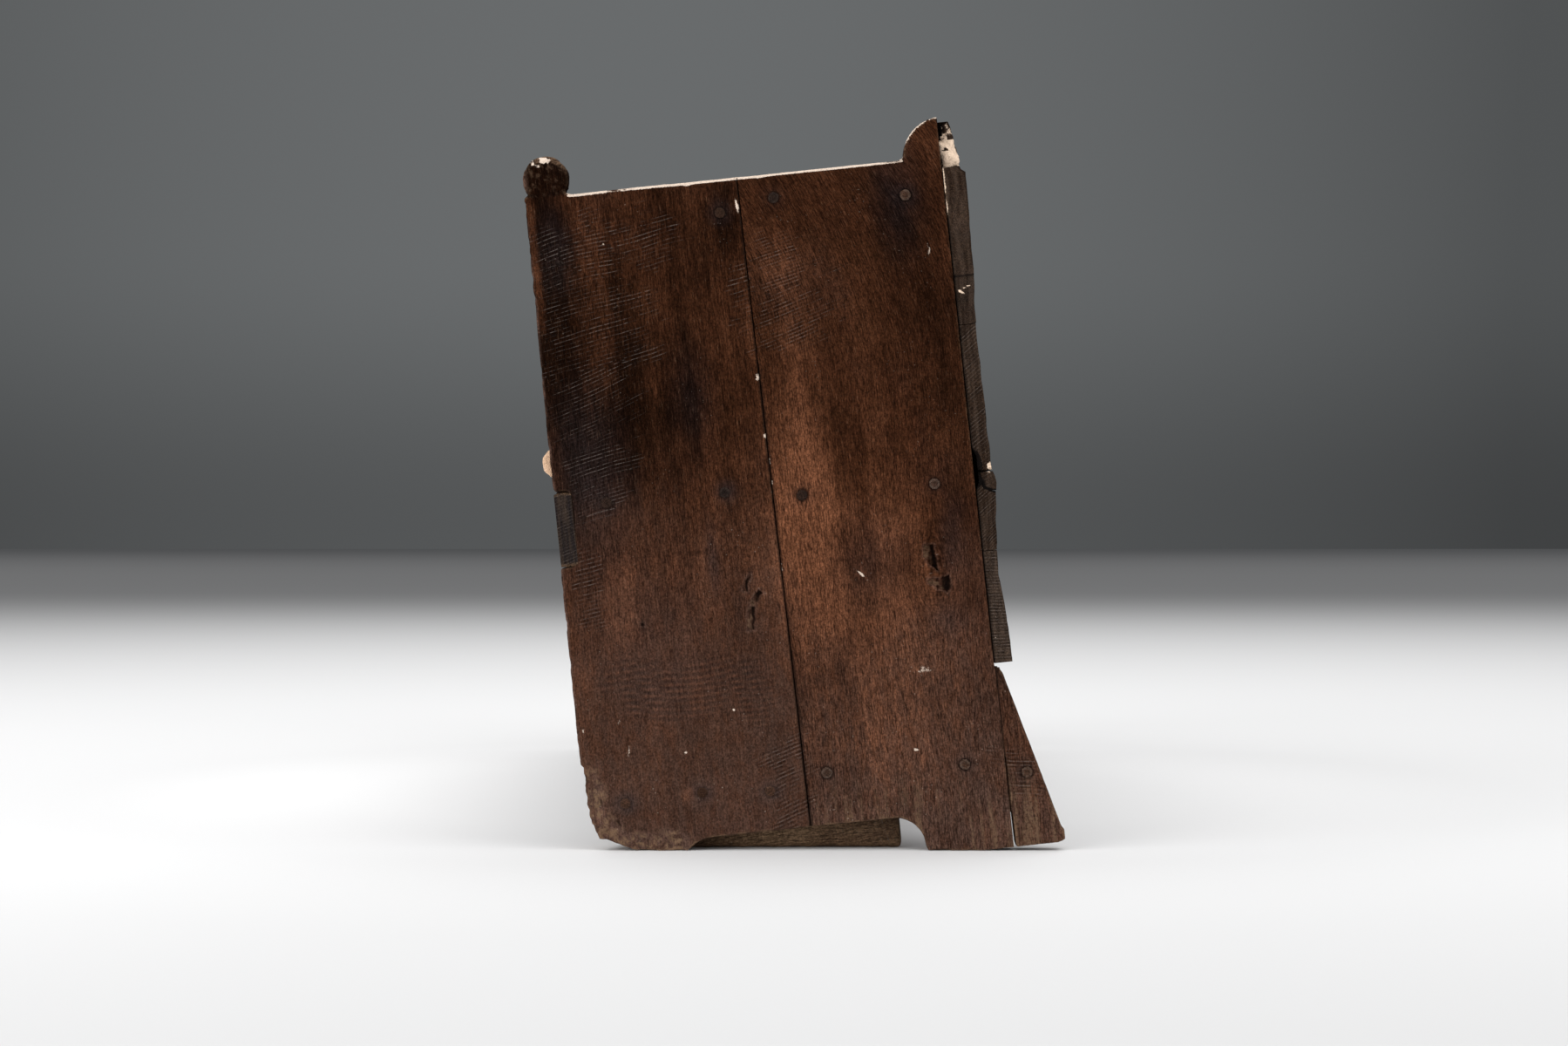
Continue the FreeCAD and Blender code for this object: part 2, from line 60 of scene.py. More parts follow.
def points_of(mesh):
    """The vertices of a mesh as an array."""
    points = np.empty(len(mesh.vertices) * 3)
    mesh.vertices.foreach_get("co", points)
    return points.reshape(-1, 3)


def node_points(node):
    """The vertices of a CAD node, in the row frame."""
    return points_of(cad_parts[node].data)


FRONT_EDGE = turned(node_points("right_front_board"), -LEAN)[:, Y].min()
SOLE = turned(node_points("right_heel_board"), -LEAN)[:, Z].min()
SQUARE_ORIGIN = np.array([0.0, FRONT_EDGE, SOLE])


def to_square(points):
    """From the row frame to the bench's square frame."""
    return turned(points, -LEAN) - SQUARE_ORIGIN


def to_row(points):
    """From the bench's square frame back to the row frame."""
    return turned(np.asarray(points) + SQUARE_ORIGIN, LEAN)


def add_object(name, data):
    """A new object in the scene."""
    made = bpy.data.objects.new(name, data)
    bpy.context.scene.collection.objects.link(made)
    return made


def square_box(node):
    """Lowest and highest corner of a CAD node in the square frame."""
    points = to_square(node_points(node))
    return points.min(0), points.max(0)


BOARD_LOW, BOARD_HIGH = square_box("right_front_board")
REAR_LOW, REAR_HIGH = square_box("right_rear_board")
INNER_X, OUTER_X = BOARD_LOW[X], BOARD_HIGH[X]
JOINT_Y = (BOARD_HIGH[Y] + REAR_LOW[Y]) / 2
REAR_Y = REAR_HIGH[Y]
HEEL_TOP = square_box("right_heel_board")[1][Z]
rear_points = to_square(node_points("right_rear_board"))
TOP_EDGE = rear_points[rear_points[:, Y] < JOINT_Y + 10 * MM, Z].max()
EAR_RADIUS = REAR_HIGH[Z] - TOP_EDGE
front_points = to_square(node_points("right_front_board"))
knob_y = front_points[front_points[:, Z] > TOP_EDGE + 2 * MM, Y]
KNOB_RADIUS = np.ptp(knob_y) / 2
KNOB_MIDDLE = (knob_y.min() + KNOB_RADIUS, BOARD_HIGH[Z] - KNOB_RADIUS)


# Noise

def ease(low, high, x):
    """0 below low, 1 above high, eased between. Turned round where low is the larger."""
    share = np.clip((x - low) / (high - low), 0, 1)
    return share * share * (3 - 2 * share)


def fade(low, high, x):
    """1 below low, 0 above high, eased between."""
    return 1 - ease(low, high, x)


def towards_end(start, full, x):
    """Eased from 0 at start to 1 at full, both in millimetres inside the outer face of an end."""
    return ease(OUTER_X - start * MM, OUTER_X - full * MM, x)


def lattice(cells, seed):
    """A repeatable value from -1 to 1 for each whole-number point."""
    x, y, z = (cells[:, k].astype(np.uint64) for k in range(3))
    mixed = x * np.uint64(73856093) ^ y * np.uint64(19349663) ^ z * np.uint64(83492791)
    mixed = (mixed ^ np.uint64(seed * 7919 + 17)) * np.uint64(2654435761)
    mixed = (mixed ^ (mixed >> np.uint64(15))) * np.uint64(2246822519)
    mixed = (mixed ^ (mixed >> np.uint64(13))) & np.uint64(0xFFFFFF)
    return mixed.astype(float) / 0x7FFFFF - 1.0


def noise(points, scale, seed, octaves=1):
    """Smooth noise from about -1 to 1. scale is cells per metre, one number or one per axis."""
    total = np.zeros(len(points))
    strength, weight = 1.0, 0.0
    for octave in range(octaves):
        where = points * (np.asarray(scale, float) * 2 ** octave)
        cell = np.floor(where).astype(np.int64)
        part = where - cell
        part = part ** 3 * (part * (part * 6 - 15) + 10)
        for corner in np.ndindex(2, 2, 2):
            share = np.prod(np.where(corner, part, 1 - part), axis=1)
            total += strength * share * lattice(cell + np.array(corner), seed + 101 * octave)
        weight += strength
        strength *= 0.5
    return total / weight * 1.6


def spot(u, v, middle, radii, turn=0.0):
    """1 in the middle of an ellipse, falling smoothly to 0 at its edge. turn is in degrees."""
    c, s = math.cos(math.radians(turn)), math.sin(math.radians(turn))
    du, dv = u - middle[0], v - middle[1]
    across = (du * c + dv * s) / radii[0]
    up = (dv * c - du * s) / radii[1]
    return fade(0.0, 1.0, np.sqrt(across ** 2 + up ** 2))


# Fasteners as the CAD has them

def loose_parts(node):
    """The separate solids of a CAD node, each as points in the square frame."""
    mesh = bmesh.new()
    mesh.from_mesh(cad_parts[node].data)
    bmesh.ops.remove_doubles(mesh, verts=mesh.verts, dist=0.01 * MM)
    mesh.verts.ensure_lookup_table()
    seen = set()
    parts = []
    for start in mesh.verts:
        if start in seen:
            continue
        seen.add(start)
        found = [start]
        for vert in found:
            for edge in vert.link_edges:
                other = edge.other_vert(vert)
                if other not in seen:
                    seen.add(other)
                    found.append(other)
        parts.append(to_square([vert.co for vert in found]))
    mesh.free()
    return sorted(parts, key=lambda points: points.mean(0).round(4).tolist())


FASTENERS = [name for name in sorted(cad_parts) if name.endswith(("pegs", "dowels", "nails"))]
SOLIDS = {name: loose_parts(name) for name in FASTENERS}


# Weathered timber

MASKS = ("wear_and_highlight", "dirt_and_shade", "dry_and_lit", "calm", "pale", "tone", "stain", "strokes", "phase", "end")


def plug(mesh, low, high):
    """Adds a closed box between two corners to a bmesh, to fill a bored hole."""
    size = Matrix.Diagonal((*(high - low), 1))
    bmesh.ops.create_cube(mesh, size=1, matrix=Matrix.Translation((low + high) / 2) @ size)


def quarter(mesh, fine):
    """Splits each face that fine picks, by its middle and outward direction, into four."""
    work = bmesh.new()
    work.from_mesh(mesh)
    faces = [face for face in work.faces if fine(face.calc_center_median(), face.normal)]
    edges = list({edge for face in faces for edge in face.edges})
    bmesh.ops.subdivide_edges(work, edges=edges, cuts=1, use_grid_fill=True)
    work.to_mesh(mesh)
    work.free()


def column(axis):
    """One coordinate of a piece's points, to read and to set."""
    def get(piece):
        return piece.co[:, axis]

    def put(piece, values):
        piece.co[:, axis] = values
    return property(get, put)


class Timber:
    """One wooden piece while it is being weathered."""

    x, y, z = column(X), column(Y), column(Z)

    def __init__(self, node, axes, voxel, seed, fine=()):
        self.node = node
        self.axes = axes  # across the width, along the grain, through the thickness
        self.voxel = voxel
        self.seed = seed
        self.low, self.high = square_box(node)
        self.mesh = self.remeshed(fine)
        self.read()
        self.square_up()
        self.masks = {name: np.zeros(len(self.co)) for name in MASKS}
        self.grain = self.co[:, list(axes)].copy()

    def remeshed(self, fine):
        """The CAD solid with its bored holes filled, as even squares. Tests in fine pick faces to quarter."""
        work = bmesh.new()
        work.from_mesh(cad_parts[self.node].data)
        square = to_square([vert.co for vert in work.verts])
        for vert, place in zip(work.verts, square):
            vert.co = place
        inset, overlap = 0.2 * MM, 0.5 * MM
        for points in (points for parts in SOLIDS.values() for points in parts):
            low = np.maximum(points.min(0) - overlap, self.low + inset)
            high = np.minimum(points.max(0) + overlap, self.high - inset)
            if (high - low > MM).all():
                plug(work, low, high)
        source = bpy.data.meshes.new(self.node + "_plugged")
        work.to_mesh(source)
        work.free()
        holder = add_object(self.node + "_plugged", source)
        remesh = holder.modifiers.new("remesh", "REMESH")
        remesh.mode = "VOXEL"
        remesh.voxel_size = self.voxel
        evened = holder.evaluated_get(bpy.context.evaluated_depsgraph_get())
        mesh = bpy.data.meshes.new_from_object(evened)
        bpy.data.objects.remove(holder)
        for picked in fine:
            quarter(mesh, picked)
        mesh.name = self.node + "_aged"
        return mesh

    def read(self):
        """Takes the mesh's points and edges into arrays."""
        self.co = points_of(self.mesh)
        self.edges = np.empty(len(self.mesh.edges) * 2, np.int64)
        self.mesh.edges.foreach_get("vertices", self.edges)
        self.edges = self.edges.reshape(-1, 2)
        self.degree = np.maximum(np.bincount(self.edges.ravel(), minlength=len(self.co)), 1)

    def square_up(self):
        """Puts points that lie close to the piece's outermost planes onto them, for square corners."""
        for axis in range(3):
            for plane in (self.low[axis], self.high[axis]):
                near = np.abs(self.co[:, axis] - plane) < 0.6 * self.voxel
                self.co[near, axis] = plane

    def mean(self, values):
        """The mean of each point's neighbours."""
        a, b = self.edges.T
        out = np.empty_like(values)
        for k, part in enumerate(values.T):
            out[:, k] = np.bincount(a, part[b], len(part)) + np.bincount(b, part[a], len(part))
        return out / self.degree[:, None]

    def relaxed(self, rounds, weight=0.5):
        """The points after some rounds of evening out."""
        moved = self.co.copy()
        weight = np.broadcast_to(weight, len(moved))[:, None]
        for _ in range(rounds):
            moved += weight * (self.mean(moved) - moved)
        return moved

    def normals(self):
        """Outward directions at the points as they are now."""
        self.mesh.vertices.foreach_set("co", self.co.ravel())
        self.mesh.update()
        out = np.empty(len(self.co) * 3)
        self.mesh.vertex_normals.foreach_get("vector", out)
        return out.reshape(-1, 3)

    def push(self, height):
        """Moves each point outwards by its height."""
        self.co += self.normals() * height[:, None]

    def bulge(self, rounds=5):
        """Above 0 on outer edges and below 0 in hollows, as a share of the mesh size."""
        return ((self.co - self.relaxed(rounds)) * self.normals()).sum(1) / self.voxel

    def noise(self, scale, seed, octaves=1):
        """Noise that belongs to this piece."""
        return noise(self.co, scale, self.seed * 31 + seed, octaves)

    def patches(self, base, scale, seed, octaves=1):
        """Noise lifted by base and kept from 0 to 1."""
        return np.clip(base + self.noise(scale, seed, octaves), 0, 1)

    def blots(self, low, high, scale, seed, octaves=1):
        """Noise eased from 0 at low to 1 at high."""
        return ease(low, high, self.noise(scale, seed, octaves))

    def rear_and_up(self):
        """Places as they are marked on the ends: millimetres rearward, then up."""
        return self.y / MM, self.z / MM

    def along(self, width_scale, grain_scale):
        """A noise scale that is stretched along the grain."""
        scale = np.full(3, float(width_scale))
        scale[self.axes[1]] = grain_scale
        return scale

    def add(self, name, values):
        """Adds to a mask."""
        self.masks[name] += values

    def stroke(self, share, phase):
        """Lays tool strokes where their share is above what is there already."""
        stronger = share > self.masks["strokes"]
        self.masks["strokes"] = np.where(stronger, share, self.masks["strokes"])
        self.masks["phase"] = np.where(stronger, phase, self.masks["phase"])

    def cut_strokes(self, depth):
        """Sinks the tool strokes into the surface."""
        phase = self.masks["phase"] + 0.2 * self.noise(40, 71)
        wave = np.sin(2 * math.pi * phase)
        line = np.floor(phase + 0.75)
        strength = 0.55 + 0.45 * lattice(np.column_stack((line, line, line)), self.seed)
        self.push(-depth * strength * self.masks["strokes"] * ease(0.1, 1.0, -wave))


def weather(t, rounding, chip, wave, keen=0.0):
    """Wear that every piece has: rounded edges, chips, uneven faces and raised grain.
    keen, from 0 to 1, is how far an edge has been spared."""
    patchy = np.clip(0.5 + 0.5 * t.noise(22, 1), 0, 1)
    t.co = t.relaxed(rounding, (0.2 + 0.4 * patchy) * (1 - keen))
    edge = ease(0.06, 0.3, t.bulge())
    nicks = t.blots(0.3, 0.9, 48, 2, 2) * edge
    t.push(-chip * nicks * (1 - keen))
    uneven = wave * t.noise(t.along(9, 2.5), 3, 2) + 0.16 * MM * t.noise(t.along(170, 7), 4, 2)
    t.push(uneven * (1 - keen))
    scuffed = t.patches(0.3, 30, 5, 2)
    t.add("wear_and_highlight", edge * (0.3 + 0.7 * scuffed) * (1 - nicks))
    t.add("dirt_and_shade", ease(0.03, 0.25, -t.bulge()))
    t.add("end", ease(0.55, 0.85, np.abs(t.normals()[:, t.axes[1]])))


FAINT_PEGS = [(57, 447), (196, 440), (43, 96), (132, 99), (210, 92)]  # rearward and up, in millimetres
RUBBED_PEGS = [(435, 757), (434, 424), (435, 100), (277, 107), (505, 84)]


def is_among(middle, places):
    """True for a peg of the right end that is listed by its place."""
    return middle[X] > 0 and any(np.hypot(middle[Y] / MM - u, middle[Z] / MM - v) < 8 for u, v in places)


def ring_pegs(t, node, axis):
    """Sinks a dark ring round each fastener of a node and darkens the wood about it."""
    flat = [k for k in range(3) if k != axis]
    draw = np.random.default_rng(len(node))
    for points in SOLIDS[node]:
        middle = (points.min(0) + points.max(0)) / 2
        radius = np.ptp(points, axis=0)[flat].min() / 2
        far = np.linalg.norm(t.co[:, flat] - middle[flat], axis=1)
        reach = np.ptp(points[:, axis]) / 2 + 2 * MM
        level = np.abs(t.co[:, axis] - middle[axis]) < reach
        rim = np.exp(-((far - radius) / (draw.uniform(0.9, 1.6) * MM)) ** 2) * level
        if is_among(middle, FAINT_PEGS):
            rim *= 0.4
        t.push(-0.9 * MM * rim)
        t.add("dirt_and_shade", draw.uniform(0.75, 1.1) * rim)
        t.add("stain", draw.uniform(0.1, 0.45) * level * fade(radius, 3.5 * radius, far))


def write_looks(mesh, masks, grain):
    """Keeps masks and places in the grain with a mesh's points, for its material."""
    for name, values in masks.items():
        kept = mesh.attributes.new(name, "FLOAT", "POINT")
        kept.data.foreach_set("value", np.asarray(values, np.float32))
    kept = mesh.attributes.new("grain", "FLOAT_VECTOR", "POINT")
    kept.data.foreach_set("vector", grain.astype(np.float32).ravel())


def put_in_place(t, material):
    """Makes the weathered piece an object that stands for its CAD node."""
    placed = to_row(t.co)
    placed[:, Z] = np.maximum(placed[:, Z], 0)
    t.mesh.vertices.foreach_set("co", placed.astype(np.float32).ravel())
    shift = lattice(np.array([[k, t.seed, 7] for k in range(3)]), 3) * 3
    write_looks(t.mesh, t.masks, t.grain + shift)
    t.mesh.shade_smooth()
    t.mesh.update()
    stand_for(t.mesh, t.node, material)


def stand_for(mesh, node, material):
    """An object from a finished mesh in the row frame, riding on the bench in place of a CAD node."""
    mesh.materials.clear()
    mesh.materials.append(material)
    piece = add_object("aged_" + node, mesh)
    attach(piece, "root")
    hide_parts(node)


# Materials

class Graph:
    """Short names for making the shader nodes of a material or a world."""

    def __init__(self, owner):
        self.owner = owner
        owner.use_nodes = True
        self.tree = owner.node_tree

    def node(self, kind, links=(), **settings):
        """A new node with its settings, its inputs fed by name or number."""
        made = self.tree.nodes.new(kind)
        for key, value in settings.items():
            setattr(made, key, value)
        for socket, value in dict(links).items():
            self.feed(made.inputs[socket], value)
        return made

    def feed(self, socket, value):
        """Links an output to a socket, or sets the socket's own value."""
        if isinstance(value, bpy.types.NodeSocket):
            self.tree.links.new(value, socket)
        else:
            socket.default_value = value

    def mask(self, name):
        return self.node("ShaderNodeAttribute", attribute_name=name).outputs["Fac"]

    def vector(self, name):
        return self.node("ShaderNodeAttribute", attribute_name=name).outputs["Vector"]

    def noise(self, vector, scale, detail=2.0, roughness=0.5, distortion=0.0):
        scaled = self.node("ShaderNodeVectorMath", {0: vector, 1: scale}, operation="MULTIPLY")
        links = {"Vector": scaled.outputs["Vector"], "Scale": 1.0, "Detail": detail}
        links.update({"Roughness": roughness, "Distortion": distortion})
        return self.node("ShaderNodeTexNoise", links).outputs["Fac"]

    def math(self, operation, a, b=0.0):
        return self.node("ShaderNodeMath", {0: a, 1: b}, operation=operation).outputs["Value"]

    def add(self, a, b):
        return self.math("ADD", a, b)

    def times(self, a, b):
        return self.math("MULTIPLY", a, b)

    def span(self, value, low, high, start=0.0, end=1.0):
        """Eases from start, where value is at low, to end, where it is at high."""
        links = {"Value": value, "From Min": low, "From Max": high, "To Min": start, "To Max": end}
        return self.node("ShaderNodeMapRange", links, interpolation_type="SMOOTHSTEP").outputs["Result"]

    def scaled(self, colour, factor):
        made = self.node("ShaderNodeVectorMath", {"Vector": colour, "Scale": factor}, operation="SCALE")
        return made.outputs["Vector"]

    def mix(self, share, a, b):
        made = self.node("ShaderNodeMix", data_type="RGBA")
        colour_a, colour_b, result = made.inputs[6], made.inputs[7], made.outputs[2]
        self.feed(made.inputs["Factor"], share)
        self.feed(colour_a, a)
        self.feed(colour_b, b)
        return result

    def bump(self, height, strength, distance):
        links = {"Height": height, "Strength": strength, "Distance": distance}
        return self.node("ShaderNodeBump", links).outputs["Normal"]

    def surface(self, links):
        """Feeds the sockets of the material's surface and returns the material."""
        shader = self.tree.nodes["Principled BSDF"]
        for socket, value in links.items():
            self.feed(shader.inputs[socket], value)
        return self.owner


def rgb(r, g, b):
    return (r, g, b, 1.0)


BLOOM = rgb(0.0165, 0.0128, 0.0135)
# The colour the dark mask turns wood to: darkening in hollows and round pegs, and painted shade in cracks,
# holes, joints and gaps.
GRIME_AND_SHADE = rgb(0.005, 0.0035, 0.003)
# Painted highlight for the ridges of tool strokes: a cool grey sheen.
STROKE_HIGHLIGHT = rgb(0.150, 0.122, 0.108)

# Noises in the oak: cells per metre across, along and through the grain, then detail, roughness, distortion
FIGURE = {
    "bands": ((34, 1.6, 34), 3.0, 0.55, 0.6),
    "blotch": ((13, 8, 13), 4.0, 0.6),
    "cloud": ((8, 5, 8), 3.0, 0.6),
    "mottle": ((110, 40, 110), 4.0, 0.7),
    "streaks": ((330, 15, 330), 3.0, 0.6, 0.5),
    "fibre": ((560, 26, 560), 2.0, 0.6),
    "weave": ((950, 75, 950), 3.0, 0.75),
    "pores": ((900, 100, 900), 1.0),
    "grit": ((640, 420, 640), 2.0, 0.65),
    "rough": ((300, 300, 300), 3.0, 0.65),
    "specks": ((430, 430, 430), 0.0),
    "clusters": ((14, 14, 14), 2.0),
    "end_lines": ((25, 3, 230), 2.0, 0.6),
    "stroke_waver": ((45, 45, 45), 2.0),
    "stroke_breaks": ((130, 60, 130), 2.0),
}


def patina(g, n, dark, middle, light, dry_and_lit):
    """The oak's colour before its wear: bands and blotches, then grey bloom, then dust, and painted light
    where the dry mask carries it.
    """
    tone = g.add(g.times(n.bands, 0.6), g.times(n.blotch, 0.8))
    tone = g.add(tone, g.times(g.mask("tone"), 0.6))
    colour = g.mix(g.span(tone, 0.3, 0.8), dark, middle)
    colour = g.mix(g.span(tone, 0.7, 1.25), colour, light)
    bloom = g.add(g.mask("stain"), g.span(n.cloud, 0.5, 0.8, 0.0, 0.25))
    colour = g.mix(g.times(bloom, g.span(n.rough, 0.2, 0.6, 0.7, 1.0)), colour, BLOOM)
    return g.mix(g.times(g.mask("dry_and_lit"), g.span(n.mottle, 0.35, 0.65, 1.0, 0.45)), colour, dry_and_lit)


def figured(g, n, colour, calm):
    """A colour with the fibres, streaks and grit of the grain in it."""
    woven = g.add(g.span(n.weave, 0.32, 0.68, -0.45, 0.6), g.span(n.fibre, 0.3, 0.7, 0.16, -0.18))
    woven = g.add(woven, g.span(n.streaks, 0.35, 0.68, 0.08, -0.14))
    texture = g.times(g.span(n.grit, 0.25, 0.75, 0.5, 1.55), g.add(g.times(woven, calm), 1.0))
    return g.scaled(colour, g.times(texture, g.span(n.mottle, 0.3, 0.7, 0.86, 1.16)))


def tool_strokes(g, n):
    """The wave of the tool strokes, from -1 to 1, and how strongly each of them shows."""
    phase = g.add(g.mask("phase"), g.times(n.stroke_waver, 0.4))
    line = g.math("FLOOR", g.add(phase, 0.25))
    chance = g.node("ShaderNodeTexWhiteNoise", {"W": line}, noise_dimensions="1D").outputs["Value"]
    broken_up = g.span(n.stroke_breaks, 0.38, 0.58, 0.2, 1.0)
    share = g.times(g.mask("strokes"), g.times(g.span(chance, 0.0, 0.9, 0.25, 1.0), broken_up))
    return g.math("SINE", g.times(phase, 2 * math.pi)), share


def bare_and_highlight_share(g, n):
    """Where fresh wood shows, and where a highlight is painted: the pale mask with a ragged outline."""
    pale = g.mask("pale")
    ragged = g.add(pale, g.times(g.math("SUBTRACT", n.rough, 0.5), 0.9))
    return g.times(g.span(ragged, 0.35, 0.6), g.span(pale, 0.02, 0.2))


def relief(g, n, stroke, stroke_share):
    """The height of the fine surface: fibres, grit, pores and strokes."""
    height = g.add(g.times(g.add(n.fibre, n.weave), 0.4), g.times(n.grit, 0.5))
    height = g.math("SUBTRACT", height, g.times(g.span(n.pores, 0.55, 0.72), 0.5))
    height = g.add(height, g.times(n.rough, 0.5))
    return g.add(height, g.times(g.times(stroke, stroke_share), 0.4))


def aged_oak(name, dark, middle, light, dry_and_lit, worn_and_highlight, bare_and_highlight, gloss=0.5, polish=0.06):
    """Old oak: patina and grain, then worn, hewn, specked, dirty and broken places from the masks, some of
    which also carry painted highlights, painted light and painted shade.
    """
    g = Graph(bpy.data.materials.new(name))
    grain = g.vector("grain")
    n = SimpleNamespace(**{kind: g.noise(grain, *values) for kind, values in FIGURE.items()})
    calm = g.span(g.mask("calm"), 0.0, 1.0, 1.0, 0.35)
    colour = figured(g, n, patina(g, n, dark, middle, light, dry_and_lit), calm)
    end_colour = g.mix(g.span(n.end_lines, 0.35, 0.7), dark, dry_and_lit)
    colour = g.mix(g.times(g.mask("end"), 0.5), colour, end_colour)
    # Painted highlight: fine bright streaks along the fibres, in the worn colour.
    colour = g.mix(g.span(n.weave, 0.6, 0.75, 0.0, 0.35), colour, worn_and_highlight)
    # The wear mask is real wear in most places; on the knob it carries painted highlights, and in holes
    # painted light on their front slope.
    wear_and_highlight = g.times(g.mask("wear_and_highlight"), g.span(n.rough, 0.35, 0.6, 0.1, 0.85))
    colour = g.mix(wear_and_highlight, colour, worn_and_highlight)

    stroke, stroke_share = tool_strokes(g, n)
    # Painted highlight on the ridges of the strokes, and painted shade in their grooves.
    ridge_highlight = g.times(g.span(stroke, 0.76, 1.0), g.times(stroke_share, g.span(n.rough, 0.25, 0.6)))
    groove_shade = g.times(g.span(stroke, -0.1, -0.9), stroke_share)
    colour = g.mix(g.times(groove_shade, 0.75), colour, dark)
    colour = g.mix(g.times(ridge_highlight, 0.85), colour, STROKE_HIGHLIGHT)

    colour = g.mix(g.times(g.span(n.pores, 0.56, 0.7, 0.0, 0.6), calm), colour, dark)
    speck = g.times(g.span(n.specks, 0.78, 0.84), g.span(n.clusters, 0.48, 0.64))
    colour = g.mix(g.times(speck, g.add(g.times(g.mask("dry_and_lit"), 0.25), 0.1)), colour, bare_and_highlight)
    # Darkening from the dark mask: grime, and painted shade where it stands for shade in cracks, holes,
    # joints and gaps.
    colour = g.mix(g.times(g.mask("dirt_and_shade"), 0.9), colour, GRIME_AND_SHADE)
    # Bare wood, and painted highlight and painted light where the pale mask stands for them on top rims, the
    # knob and the gap beside the end.
    bare_and_highlight_colour = g.mix(g.span(n.fibre, 0.45, 0.75, 0.0, 0.4), bare_and_highlight, worn_and_highlight)
    return g.surface({
        "Base Color": g.mix(bare_and_highlight_share(g, n), colour, bare_and_highlight_colour),
        "Roughness": g.span(n.rough, 0.25, 0.75, gloss, gloss + 0.3),
        "Normal": g.bump(relief(g, n, stroke, stroke_share), 0.8, 1.0 * MM),
        "Specular IOR Level": polish,
    })


def forged_iron():
    """Hand-forged iron, dark with rust in the hollows."""
    g = Graph(bpy.data.materials.new("forged_iron"))
    place = g.node("ShaderNodeTexCoord").outputs["Object"]
    rust = g.noise(place, (240, 240, 240), 4.0, 0.65)
    scale = g.noise(place, (900, 900, 900), 2.0)
    return g.surface({
        "Base Color": g.mix(g.span(rust, 0.4, 0.65), rgb(0.018, 0.015, 0.014), rgb(0.075, 0.030, 0.014)),
        "Roughness": g.span(rust, 0.3, 0.7, 0.5, 0.85),
        "Normal": g.bump(g.add(rust, scale), 0.6, 0.6 * MM),
        "Metallic": 0.6,
    })


END_OAK = aged_oak(
    "end_oak",
    dark=rgb(0.0085, 0.0030, 0.0013),
    middle=rgb(0.043, 0.0152, 0.0067),
    light=rgb(0.138, 0.0525, 0.0255),
    dry_and_lit=rgb(0.112, 0.064, 0.048),
    worn_and_highlight=rgb(0.190, 0.115, 0.070),
    bare_and_highlight=rgb(0.82, 0.67, 0.55),
    polish=0.01,
)
BACK_OAK = aged_oak(
    "back_oak",
    dark=rgb(0.0070, 0.0042, 0.0029),
    middle=rgb(0.031, 0.0162, 0.0092),
    light=rgb(0.080, 0.044, 0.026),
    dry_and_lit=rgb(0.071, 0.048, 0.035),
    worn_and_highlight=rgb(0.185, 0.125, 0.082),
    bare_and_highlight=rgb(0.95, 0.73, 0.55),
    polish=0.03,
)
SEAT_OAK = aged_oak(
    "seat_oak",
    dark=rgb(0.014, 0.0075, 0.0048),
    middle=rgb(0.062, 0.0275, 0.0145),
    light=rgb(0.170, 0.082, 0.042),
    dry_and_lit=rgb(0.230, 0.145, 0.088),
    worn_and_highlight=rgb(0.290, 0.185, 0.115),
    bare_and_highlight=rgb(0.82, 0.54, 0.35),
    gloss=0.4,
    polish=0.2,
)
INNER_OAK = aged_oak(
    "inner_oak",
    dark=rgb(0.010, 0.0060, 0.0040),
    middle=rgb(0.045, 0.0230, 0.0130),
    light=rgb(0.110, 0.058, 0.033),
    dry_and_lit=rgb(0.210, 0.132, 0.076),
    worn_and_highlight=rgb(0.190, 0.110, 0.060),
    bare_and_highlight=rgb(0.50, 0.38, 0.27),
)
PEG_OAK = aged_oak(
    "peg_oak",
    dark=rgb(0.0080, 0.0042, 0.0028),
    middle=rgb(0.032, 0.0145, 0.0078),
    light=rgb(0.090, 0.042, 0.024),
    dry_and_lit=rgb(0.070, 0.042, 0.029),
    worn_and_highlight=rgb(0.190, 0.140, 0.110),
    bare_and_highlight=rgb(0.45, 0.36, 0.28),
)
IRON = forged_iron()


# The ends. Marks on the right one follow the real bench. Places are millimetres: rearward from the
# front edge, then up from the sawn sole.

# Hewn strokes: place, half width, half height, slope in degrees, spacing
STROKES = [
    (60, 700, 60, 60, 9, 4.6),
    (66, 628, 64, 40, 11, 4.8),
    (60, 560, 46, 52, 19, 4.4),
    (52, 470, 42, 40, 12, 4.2),
    (130, 730, 50, 30, 8, 4.6),
    (44, 430, 22, 12, 8, 6.5),
    (29, 341, 17, 50, 9, 4.7),
    (40, 452, 26, 28, 13, 3.8),
    (238, 668, 14, 34, 8, 5.0),
    (290, 698, 36, 40, 13, 4.0),
    (297, 640, 50, 36, 16, 4.2),
    (232, 100, 26, 60, 18, 4.6),
    (500, 84, 26, 24, -8, 4.6),
    (502, 60, 30, 24, -8, 4.6),
    (34, 722, 34, 46, 12, 5.0),
]
# Ripples left by a plane: place, half width, half height, radius of their curve, spacing
RIPPLES = [(130, 218, 100, 48, 190, 7.0), (205, 205, 45, 45, 230, 6.5), (70, 232, 60, 36, 400, 8.0)]
